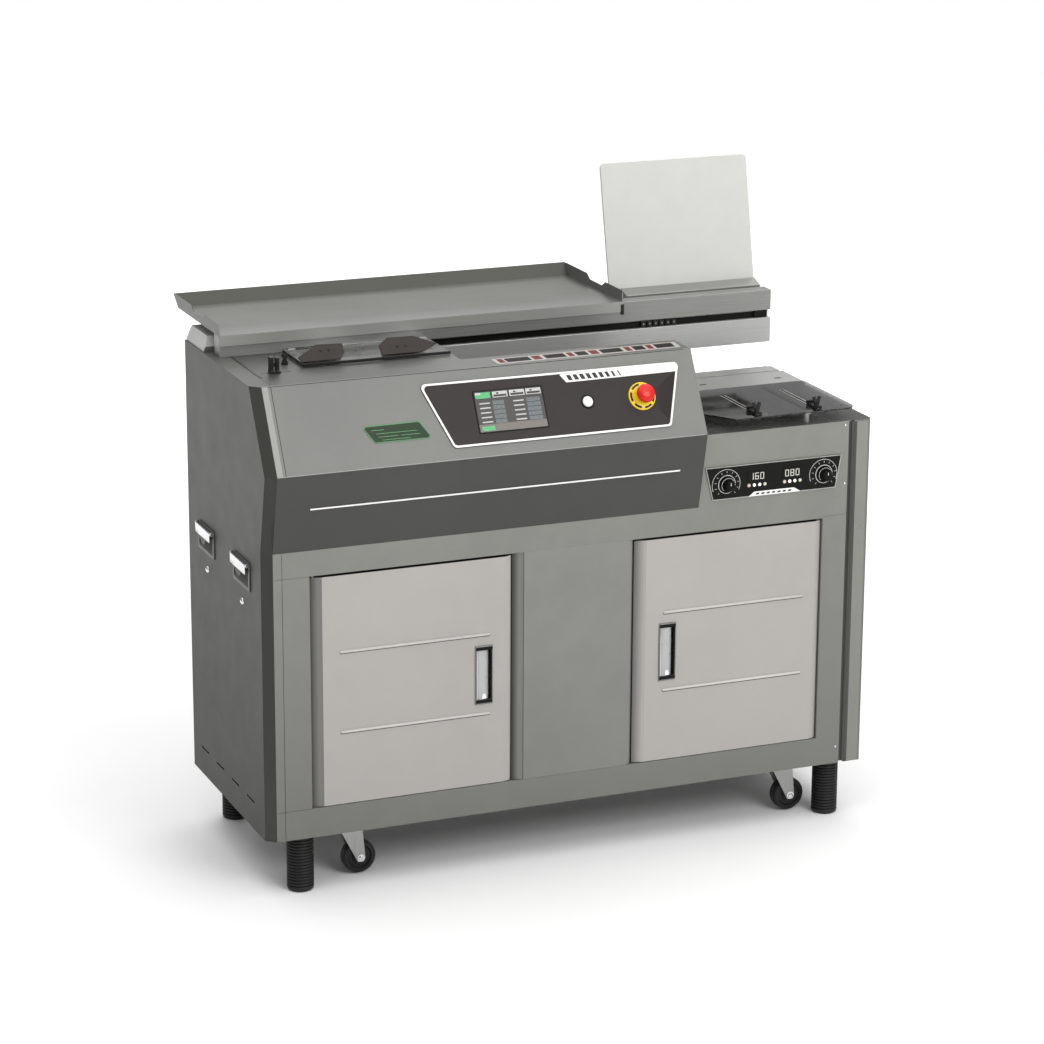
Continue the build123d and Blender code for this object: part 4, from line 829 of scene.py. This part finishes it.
for side, (kx, kz) in {"left": (937.0, 605.0), "right": (1146.0, 605.0)}.items():
    body = "heater_%s_body" % side
    cx = kx
    # printed scale: a broken ring with ticks
    for k in range(11):
        a = math.radians(225 - 27 * k)
        c, s = math.cos(a), math.sin(a)
        w = 0.9
        pts = [(cx + 22.6 * c - w * s / 2, kz + 22.6 * s + w * c / 2), (cx + 22.6 * c + w * s / 2, kz + 22.6 * s - w * c / 2),
               (cx + 26.4 * c + w * s / 2, kz + 26.4 * s - w * c / 2), (cx + 26.4 * c - w * s / 2, kz + 26.4 * s + w * c / 2)]
        extr("dial_tick_%s_%d" % (side, k), front_out(pts, -2.0), FY * 0.00025, M_LINE, "chassis", 0)
    n = 60
    a0, a1 = math.radians(-24), math.radians(204)
    arc_o = [(cx - 1.5 + 30.2 * math.cos(a0 + (a1 - a0) * k / n), kz + 30.2 * math.sin(a0 + (a1 - a0) * k / n)) for k in range(n + 1)]
    arc_i = [(cx - 1.5 + 29.2 * math.cos(a0 + (a1 - a0) * k / n), kz + 29.2 * math.sin(a0 + (a1 - a0) * k / n)) for k in range(n + 1)]
    extr("dial_arc_%s" % side, front_out(arc_o + arc_i[::-1], -2.0), FY * 0.00025, M_LINE, "chassis", 0)
    lathe("dial_ring_%s" % side, [(17.0, 2.0), (17.1, 2.7), (18.5, 2.7), (18.7, 2.0), (17.0, 2.0)], P(kx, 0, kz), FY, M_LINE, "chassis", 48, 30)
    # knob: fluted skirt, dished face with a white arc
    kn = []
    seg = 72
    prof = [(0, 21.2), (7.6, 21.2), (8.4, 20.9), (9.2, 20.0), (11.6, 11.0), (12.4, 8.8), (14.2, 8.2), (15.0, 7.4), (15.0, 2.6), (14.6, 2.4), (0, 2.4)]
    o = lathe("knob_%s" % side, prof, P(kx, 0, kz), FY, M_KNOB, body, 72, 30)
    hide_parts("heater_knob_" + side)
    for k in range(18):
        a = 2 * math.pi * k / 18
        c, s = math.cos(a), math.sin(a)
        pts = [(kx + 11.2 * c - 0.9 * s, kz + 11.2 * s + 0.9 * c), (kx + 11.2 * c + 0.9 * s, kz + 11.2 * s - 0.9 * c),
               (kx + 12.6 * c + 0.7 * s, kz + 12.6 * s - 0.7 * c), (kx + 12.6 * c - 0.7 * s, kz + 12.6 * s + 0.7 * c)]
        extr("knob_rib_%s_%d" % (side, k), front_out(pts, -8.3), FY * 0.0085, M_KNOB, body, 0.0003)
    n = 40
    a0, a1 = math.radians(-48), math.radians(228)
    arc_o = [(kx + 13.9 * math.cos(a0 + (a1 - a0) * k / n), kz + 13.9 * math.sin(a0 + (a1 - a0) * k / n)) for k in range(n + 1)]
    arc_i = [(kx + 12.9 * math.cos(a0 + (a1 - a0) * k / n), kz + 12.9 * math.sin(a0 + (a1 - a0) * k / n)) for k in range(n + 1)]
    extr("knob_arc_%s" % side, front_out(arc_o + arc_i[::-1], -8.2), FY * 0.0003, M_WHITE, body, 0)
    extr("knob_line_%s" % side, front_out([(kx - 0.8, kz + 1.5), (kx + 0.8, kz + 1.5), (kx + 0.8, kz + 7.4), (kx - 0.8, kz + 7.4)], -21.2),
         FY * 0.0002, M_LINE, body, 0)


def screw(name, origin, axis, r, mat, body, h=1.8):
    lathe(name, [(0, h * 0.55), (r * 0.42, h * 0.55), (r * 0.46, h), (r * 0.7, h * 0.95), (r * 0.93, h * 0.6), (r, 0.15), (r, -0.3), (0, -0.3)], origin,
          axis, mat, body, 24, 40)


for i, (x, z) in enumerate(((1191, 698.5), (1193, 581), (1191, 35))):
    screw("front_screw_%d" % i, P(x, 0, z), FY, 2.6, M_CHROME, "chassis")

box("post_seam", 35.6, 36.4, -0.15, 0.0, 2.0, 562.0, M_SEAM_AND_SHADOW, "chassis", 0)
# door beads lighter than the door paint as painted highlight, with a dark strip under each as painted shadow
M_BEAD = powder("bead_light", srgb(190, 187, 183), 0.34)
for side, xa, xb in (("left", 147.0, 448.0), ("right", 808.0, 1108.0)):
    for t, z in enumerate((360.0, 202.0)):
        L_ = xb - xa
        lathe("door_bead_%s_%d" % (side, t), [(0, 0), (1.2, 0.3), (2.1, 1.3), (2.5, 2.8), (2.5, L_ - 2.8), (2.1, L_ - 1.3), (1.2, L_ - 0.3), (0, L_)],
              P(xa, -0.2, z + 0.6), (1, 0, 0), M_BEAD, side + "_door_body", 20, 60)
        box("door_bead_shade_%s_%d" % (side, t), xa, xb, -0.14, 0.0, z - 3.4, z - 1.6, M_SEAM_AND_SHADOW, side + "_door_body", 0)

# ------------------------------------------------------------------ door pulls
HZ0, HZ1 = 222.0, 339.0
M_RIM = brushed("pull_rim", srgb(120, 121, 121), 2, 0.3, metal=0.6)
M_PLATE = plastic("pull_plate", srgb(172, 173, 173), 0.28, 0.1, var=0.05, spec=0.5)
M_PULL_IN = plastic("pull_inside", srgb(38, 38, 36), 0.28, 0.2)
for side, x0, body, node in (("left", 417.0, "left_door_body", "left_door_handle"), ("right", 799.0, "right_door_body", "right_door_handle")):
    x1 = x0 + 36.0
    pieces_ = []
    # rim
    outer = round2([(x0 + 0.1, HZ0 + 0.1), (x1 - 0.1, HZ0 + 0.1), (x1 - 0.1, HZ1 - 0.1), (x0 + 0.1, HZ1 - 0.1)], 2.5, 5)
    inner = round2([(x0 + 2.2, HZ0 + 8.8), (x1 - 1.6, HZ0 + 8.8), (x1 - 1.6, HZ1 - 8.8), (x0 + 2.2, HZ1 - 8.8)], 1.0, 5)
    o = ring("pull_rim_" + side, front_out(outer, 0.0), front_out(inner, 0.0), FY * 0.0022, M_RIM, body, 0.0007)
    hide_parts(node)
    # painted highlight: a bright spot low on the plate and a light line at its left
    extr("pull_glint_" + side, front_out(round2([(x0 + 14.0, HZ0 + 10.5), (x0 + 23.5, HZ0 + 10.5), (x0 + 21.0, HZ0 + 21.0), (x0 + 15.5, HZ0 + 21.0)], 1.5, 4), -0.6),
         FY * 0.0003, M_CHROME, body, 0)
    box("pull_side_" + side, x0 + 3.4, x0 + 4.6, -1.2, 1.0, HZ0 + 9.2, HZ1 - 9.2, M_CHROME, body, 0.0003)
    # hollow: back and sides
    verts = [P(x0 + 2.2, -0.5, HZ0 + 8.8), P(x1 - 1.6, -0.5, HZ0 + 8.8), P(x1 - 1.6, -0.5, HZ1 - 8.8), P(x0 + 2.2, -0.5, HZ1 - 8.8)]
    ring("pull_wall_" + side, front_out(inner, 13.5), front_out(round2([(x0 + 2.8, HZ0 + 9.4), (x1 - 2.2, HZ0 + 9.4), (x1 - 2.2, HZ1 - 9.4), (x0 + 2.8, HZ1 - 9.4)], 1.0, 5), 13.5),
         FY * 0.0138, M_PULL_IN, body)
    extr("pull_back_" + side, front_out(outer, 14.0), FY * 0.0015, M_PULL_IN, body, 0)
    # curved finger plate, from the left rim round into the hollow
    n = 18
    line = []
    for k in range(n + 1):
        if k < 5:
            line.append((x0 + 2.9 + 10.1 * k / 5.0, 2.6 - 3.0 * math.sin(math.pi / 2 * k / 5.0)))
        else:
            a = math.radians(90 - 82 * (k - 5) / (n - 5))
            line.append((x0 + 13.0 + 17.6 * math.cos(a), 10.4 - 10.8 * math.sin(a)))
    verts, faces = [], []
    for (px, py) in line:
        for zz in (HZ0 + 9.0, HZ1 - 9.0):
            verts.append(P(px, py, zz))
    m_ = len(verts)
    for (px, py) in line:
        dx, dy = px - (x0 + 15.0), py - 8.2
        L = math.hypot(dx, dy)
        for zz in (HZ0 + 9.0, HZ1 - 9.0):
            verts.append(P(px - dx / L * 1.2, py - dy / L * 1.2, zz))
    for k in range(n):
        a, b = 2 * k, 2 * k + 2
        faces += [(a, b, b + 1, a + 1), (m_ + a, m_ + a + 1, m_ + b + 1, m_ + b), (a, m_ + a, m_ + b, b), (a + 1, b + 1, m_ + b + 1, m_ + a + 1)]
    faces += [(0, 1, m_ + 1, m_), (2 * n, m_ + 2 * n, m_ + 2 * n + 1, 2 * n + 1)]
    o = new_obj("pull_plate_" + side, verts, faces, M_PLATE)
    o.data.shade_smooth()
    o.data.set_sharp_from_angle(angle=math.radians(40))
    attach(o, body)
    # dark end caps
    for tag, za, zb in (("top", HZ1 - 8.9, HZ1 - 2.6), ("bottom", HZ0 + 2.6, HZ0 + 8.9)):
        extr("pull_cap_%s_%s" % (tag, side), front_out(round2([(x0 + 1.2, za), (x1 - 1.2, za), (x1 - 1.2, zb), (x0 + 1.2, zb)], 1.0, 4), -2.2),
             FY * 0.0004, M_BLACK_SAT, body, 0)

# ------------------------------------------------------------------ gantry details
box("slot_shadow", 440, 1134, 305.4, 305.9, 852.3, 867.4, M_BLACK_SAT, "chassis", 0)
box("slot_strip", 452, 1134, 303.2, 305.3, 865.4, 867.0, M_BEAM, "chassis", 0.0004)
for k in range(6):
    x = 888 + 13.2 * k
    box("chain_link_%d" % k, x, x + 10.6, 299.6, 303.1, 854.0, 865.5, M_BLACK, "chassis", 0.0008)
    lathe("chain_pin_%d" % k, [(0, 0.9), (1.6, 0.8), (2.0, 0.3), (2.0, -0.3), (0, -0.3)], P(x + 5.3, 299.6, 859.7), FY, M_STEEL, "chassis", 16, 40)
box("slot_end", 1135, 1164, 299.0, 308.7, 853.0, 866.9, M_BLACK_SAT, "chassis", 0.0008)
screw("slot_screw", P(1035, 303.2, 865.0), FY, 2.2, M_BLACK, "chassis", 1.4)
# folded lines pressed along the upper beam's face
for i, z in enumerate((899.5, 884.0, 875.5)):
    box("beam_line_%d" % i, 20, 846 if i == 0 else 1168, 296.72, 297.0, z, z + 1.1, M_BEAM, "chassis", 0.0002)

box("tray_hook", 842.0, 848.0, 293.6, 295.3, 884.0, 904.6, M_BLACK, "chassis", 0.0004)
# guard over the filling hole: black edging, and a seam line across the deck
box("guard_edge_front", 138.6, 432.0, 164.6, 167.9, 869.4, 875.0, M_BLACK, "guard_body", 0.0005)
box("guard_edge_left", 138.6, 140.9, 167.9, 288.5, 869.4, 875.0, M_BLACK, "guard_body", 0.0005)
extr("deck_seam", [P(38.2, 119, 867.7), P(43.0, 119, 867.7), P(41.6, 392, 867.7), P(36.8, 392, 867.7)], (0, 0, 0.0006), M_BLACK,
     "chassis", 0)

# strip with plain printed blocks along the deck's front edge
ST = ((488.8, 101.1), (487.3, 61.6), (865.3, 64.7), (871.0, 108.7))


def on_strip(u, v):
    (ax, ay), (bx, by), (cx_, cy_), (dx_, dy_) = ST
    x = (1 - u) * ((1 - v) * bx + v * ax) + u * ((1 - v) * cx_ + v * dx_)
    y = (1 - u) * ((1 - v) * by + v * ay) + u * ((1 - v) * cy_ + v * dy_)
    return x, y


M_STRIP = plastic("strip_film", srgb(168, 162, 158), 0.4, 0.2)
strip = round2([ST[1], ST[2], ST[3], ST[0]], 3, 4)
extr("deck_strip", [P(x, y, TOP_Z) for x, y in strip], (0, 0, 0.0004), M_STRIP, "chassis", 0)
M_ROSE = plastic("print_rose", srgb(104, 46, 42), 0.5, 0.2, spec=0.1)
M_PRINT_D = plastic("print_dark", srgb(22, 18, 18), 0.5, 0.2, spec=0.1)
for k, (a, b, tone) in enumerate(((0.02, 0.05, "r"), (0.06, 0.19, "d"), (0.205, 0.25, "r"), (0.27, 0.38, "d"), (0.395, 0.425, "r"), (0.44, 0.50, "d"),
                                  (0.515, 0.56, "r"), (0.575, 0.69, "d"), (0.71, 0.74, "r"), (0.755, 0.815, "d"), (0.83, 0.86, "r"), (0.875, 0.975, "d"))):
    q = [on_strip(a, 0.16), on_strip(b, 0.16), on_strip(b, 0.86), on_strip(a, 0.86)]
    extr("deck_print_%d" % k, [P(x, y, TOP_Z + 0.4) for x, y in q], (0, 0, 0.0002), M_PRINT_D if tone == "d" else M_ROSE, "chassis", 0)

# cover table: light edges along the guide slots as painted highlight, and black pieces in the two small openings as
# painted shade
M_SLOT_HIGHLIGHT = plastic("slot_highlight", srgb(206, 206, 200), 0.35, 0.1)
for i, gx_ in enumerate((1014.5, 1144.0)):
    for t_, (xa, xb) in enumerate(((gx_ - 4.5, gx_ - 3.4), (gx_ + 3.4, gx_ + 4.5))):
        box("table_slot_%d_%d" % (i, t_), xa, xb, 66.0, 187.0, 729.9, 730.2, M_SLOT_HIGHLIGHT, "lift_table", 0)
for i, (sx, sy) in enumerate(((1016.0, 279.0), (1181.0, 276.0))):
    box("table_slot_shadow_%d" % i, sx - 6.8, sx + 6.8, sy - 1.9, sy + 4.6, 727.5, 730.3, M_BLACK, "lift_table", 0)

# ------------------------------------------------------------------ feet and casters
for key, (fx, fy) in {"front_left": (75.0, 35.0), "front_right": (1188.0, 35.0), "rear_left": (75.0, 440.0), "rear_right": (1188.0, 440.0)}.items():
    prof = [(0, -113.0), (20.5, -113.0), (23.0, -112.4), (25.0, -110.6), (25.9, -107.6)]
    z = -105.6
    while z < -8:
        prof += [(26.0, z), (25.8, z + 1.6), (24.6, z + 2.8), (22.8, z + 3.4), (22.6, z + 4.2), (24.2, z + 4.8), (25.6, z + 5.5)]
        z += 6.2
    prof += [(26.0, -1.6), (25.2, -0.6), (12.0, -0.4), (10.0, -0.4), (10.0, 59.0), (9.0, 60.0), (0, 60.0)]
    o = lathe("foot_piece_" + key, prof, P(fx, fy, 0), (0, 0, 1), M_RUBBER, "foot_%s_body" % key, 48, 60)
    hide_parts("foot_" + key)
for key, (cx, cy) in {"front_left": (183.0, 72.0), "front_right": (1100.0, 72.0), "rear_left": (183.0, 400.0), "rear_right": (1100.0, 400.0)}.items():
    wx, wz = cx + 21.0, -78.0
    prof = [(4.1, -11.0), (7.6, -11.0), (8.2, -12.4), (12.6, -12.5), (13.6, -11.0), (14.6, -9.2), (21.4, -8.8), (23.0, -10.6), (23.8, -12.4),
            (28.5, -12.4), (31.0, -11.6), (32.5, -9.4), (33.0, -6.0), (33.0, 6.0), (32.5, 9.4), (31.0, 11.6), (28.5, 12.4), (23.8, 12.4),
            (23.0, 10.6), (21.4, 8.8), (14.6, 9.2), (13.6, 11.0), (12.6, 12.5), (8.2, 12.4), (7.6, 11.0), (4.1, 11.0), (4.1, -11.0)]
    o = lathe("wheel_piece_" + key, prof, P(wx, cy, wz), (0, 1, 0), M_TYRE, "wheel_%s_body" % key, 64, 40)
    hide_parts("caster_wheel_" + key)
    for sgn in (-1, 1):
        lathe("wheel_nut_%s_%d" % (key, 0 if sgn < 0 else 1), [(0, 22.6), (2.6, 22.4), (4.6, 21.4), (5.2, 19.6), (7.4, 19.4), (7.6, 18.0), (0, 18.0)],
              P(wx, cy, wz), (0, sgn, 0), M_CHROME, "fork_%s_body" % key, 24, 30)
    lathe("swivel_cap_" + key, [(0, -13.8), (24.2, -13.8), (24.6, -12.0), (24.6, -6.2), (23.6, -4.4), (20.0, -2.6), (8, -2.2), (7.2, -2.2), (7.2, -1.0), (0, -1.0)],
          P(cx, cy, 0), (0, 0, 1), M_STEEL_Z, "fork_%s_body" % key, 48, 35)

# ------------------------------------------------------------------ flap latches and studs on the left side
def side_out(pts, x):
    return [P(x, y, z) for y, z in pts]


M_LATCH = powder("latch_plate", srgb(84, 84, 79), 0.36)
M_TONGUE = brushed("tongue_steel", srgb(70, 70, 68), 1, 0.4, metal=0.4)
M_POCKET = plastic("pocket_dark", srgb(10, 10, 10), 0.45, 0.3)
XP = Vector((1, 0, 0))
for key, (y0, y1) in {"rear": (296.0, 396.0), "front": (76.0, 176.0)}.items():
    z0, z1 = 472.0, 527.0
    out_ = round2([(y0, z0), (y1, z0), (y1, z1), (y0, z1)], 3.0, 5)
    in_ = round2([(y0 + 7, z0 + 7), (y1 - 7, z0 + 7), (y1 - 7, z1 - 7), (y0 + 7, z1 - 7)], 1.5, 5)
    o = ring("latch_rim_" + key, side_out(out_, 0.0), side_out(in_, 0.0), -XP * 0.0030, M_LATCH, "chassis", 0.0009)
    if key == "rear":
        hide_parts("latch_bodies")
    in2 = round2([(y0 + 6.2, z0 + 6.2), (y1 - 6.2, z0 + 6.2), (y1 - 6.2, z1 - 6.2), (y0 + 6.2, z1 - 6.2)], 1.5, 5)
    ring("latch_wall_" + key, side_out(in2, 17.6), side_out(in_, 17.6), -XP * 0.0190, M_POCKET, "chassis")
    extr("latch_back_" + key, side_out(in2, 16.0), XP * 0.0018, M_POCKET, "chassis", 0)
    # sloped lower plate, and the bar above it
    extr("latch_slope_" + key, [P(-3.4, y0 + 7.4, z0 + 7.2), P(13.5, y0 + 7.4, z0 + 33.0), P(15.4, y0 + 7.4, z0 + 33.0), P(15.4, y0 + 7.4, z0 + 7.2)],
         Vector((0, (y1 - y0 - 14.8) / 1000, 0)), M_LATCH, "chassis", 0.0006)
    extr("latch_bar_" + key, [P(3.0, y0 + 12, z0 + 27.0), P(6.2, y0 + 12, z0 + 31.4), P(8.0, y0 + 12, z0 + 29.6), P(4.8, y0 + 12, z0 + 25.2)],
         Vector((0, (y1 - y0 - 24) / 1000, 0)), M_STEEL, "chassis", 0.0005)
    for t, (ya, yb) in enumerate(((y0 + 1.2, y0 + 4.9), (y1 - 4.9, y1 - 1.2))):
        extr("latch_ear_%s_%d" % (key, t), [P(-2.9, ya, z1 - 8.0), P(-7.4, ya, z1 - 8.0), P(-9.0, ya, z1 - 6.0), P(-9.0, ya, z1 - 2.2), P(-7.4, ya, z1 - 0.4), P(-2.9, ya, z1 - 0.4)],
             Vector((0, (yb - ya) / 1000, 0)), M_CHROME, "chassis", 0.0006)
    lathe("latch_pin_" + key, [(0, 0), (0.98, 0), (0.98, 97.6), (0, 97.6)], P(-7.0, y0 + 1.2, z1 - 4.0), (0, 1, 0), M_CHROME, "chassis",
          20, 40)
    # flap: a folded sheet with a tongue, turning about the pin
    body = "flap_%s_body" % key
    prof = [(-4.7, z1 - 6.8), (-4.7, z1 - 2.3), (-8.6, z1 - 2.1), (-9.7, z1 - 3.0), (-10.0, z1 - 5.0), (-10.0, z1 - 21.2), (-9.2, z1 - 22.0),
            (-8.4, z1 - 21.4), (-8.2, z1 - 8.0), (-7.4, z1 - 6.9)]
    verts, faces = [], []
    ya, yb = y0 + 5.5, y1 - 5.5
    n = len(prof)
    o = extr("flap_sheet_" + key, [P(x, ya, z) for x, z in prof], Vector((0, (yb - ya) / 1000, 0)), M_CHROME, body, 0.0004)
    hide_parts("latch_flap_" + key)
    extr("flap_tongue_" + key, [P(-8.3, y0 + 27, z1 - 20.8), P(-8.3, y0 + 36.5, z1 - 32.6), P(-8.3, y0 + 39, z1 - 33.0), P(-8.3, y1 - 43, z1 - 33.0),
                                P(-8.3, y1 - 40.5, z1 - 32.6), P(-8.3, y1 - 29, z1 - 20.8)], -XP * 0.0016, M_TONGUE, body, 0.0005)
for i, (y, z) in enumerate(((345.0, 440.0), (128.0, 440.0))):
    lathe("side_stud_%d" % i, [(0, 4.6), (1.8, 4.5), (3.6, 4.0), (5.0, 3.2), (6.2, 2.1), (6.9, 1.0), (7.1, 0.2), (7.1, -0.2), (0, -0.2)], P(0, y, z), (-1, 0, 0),
          M_CHROME, "chassis", 32, 40)
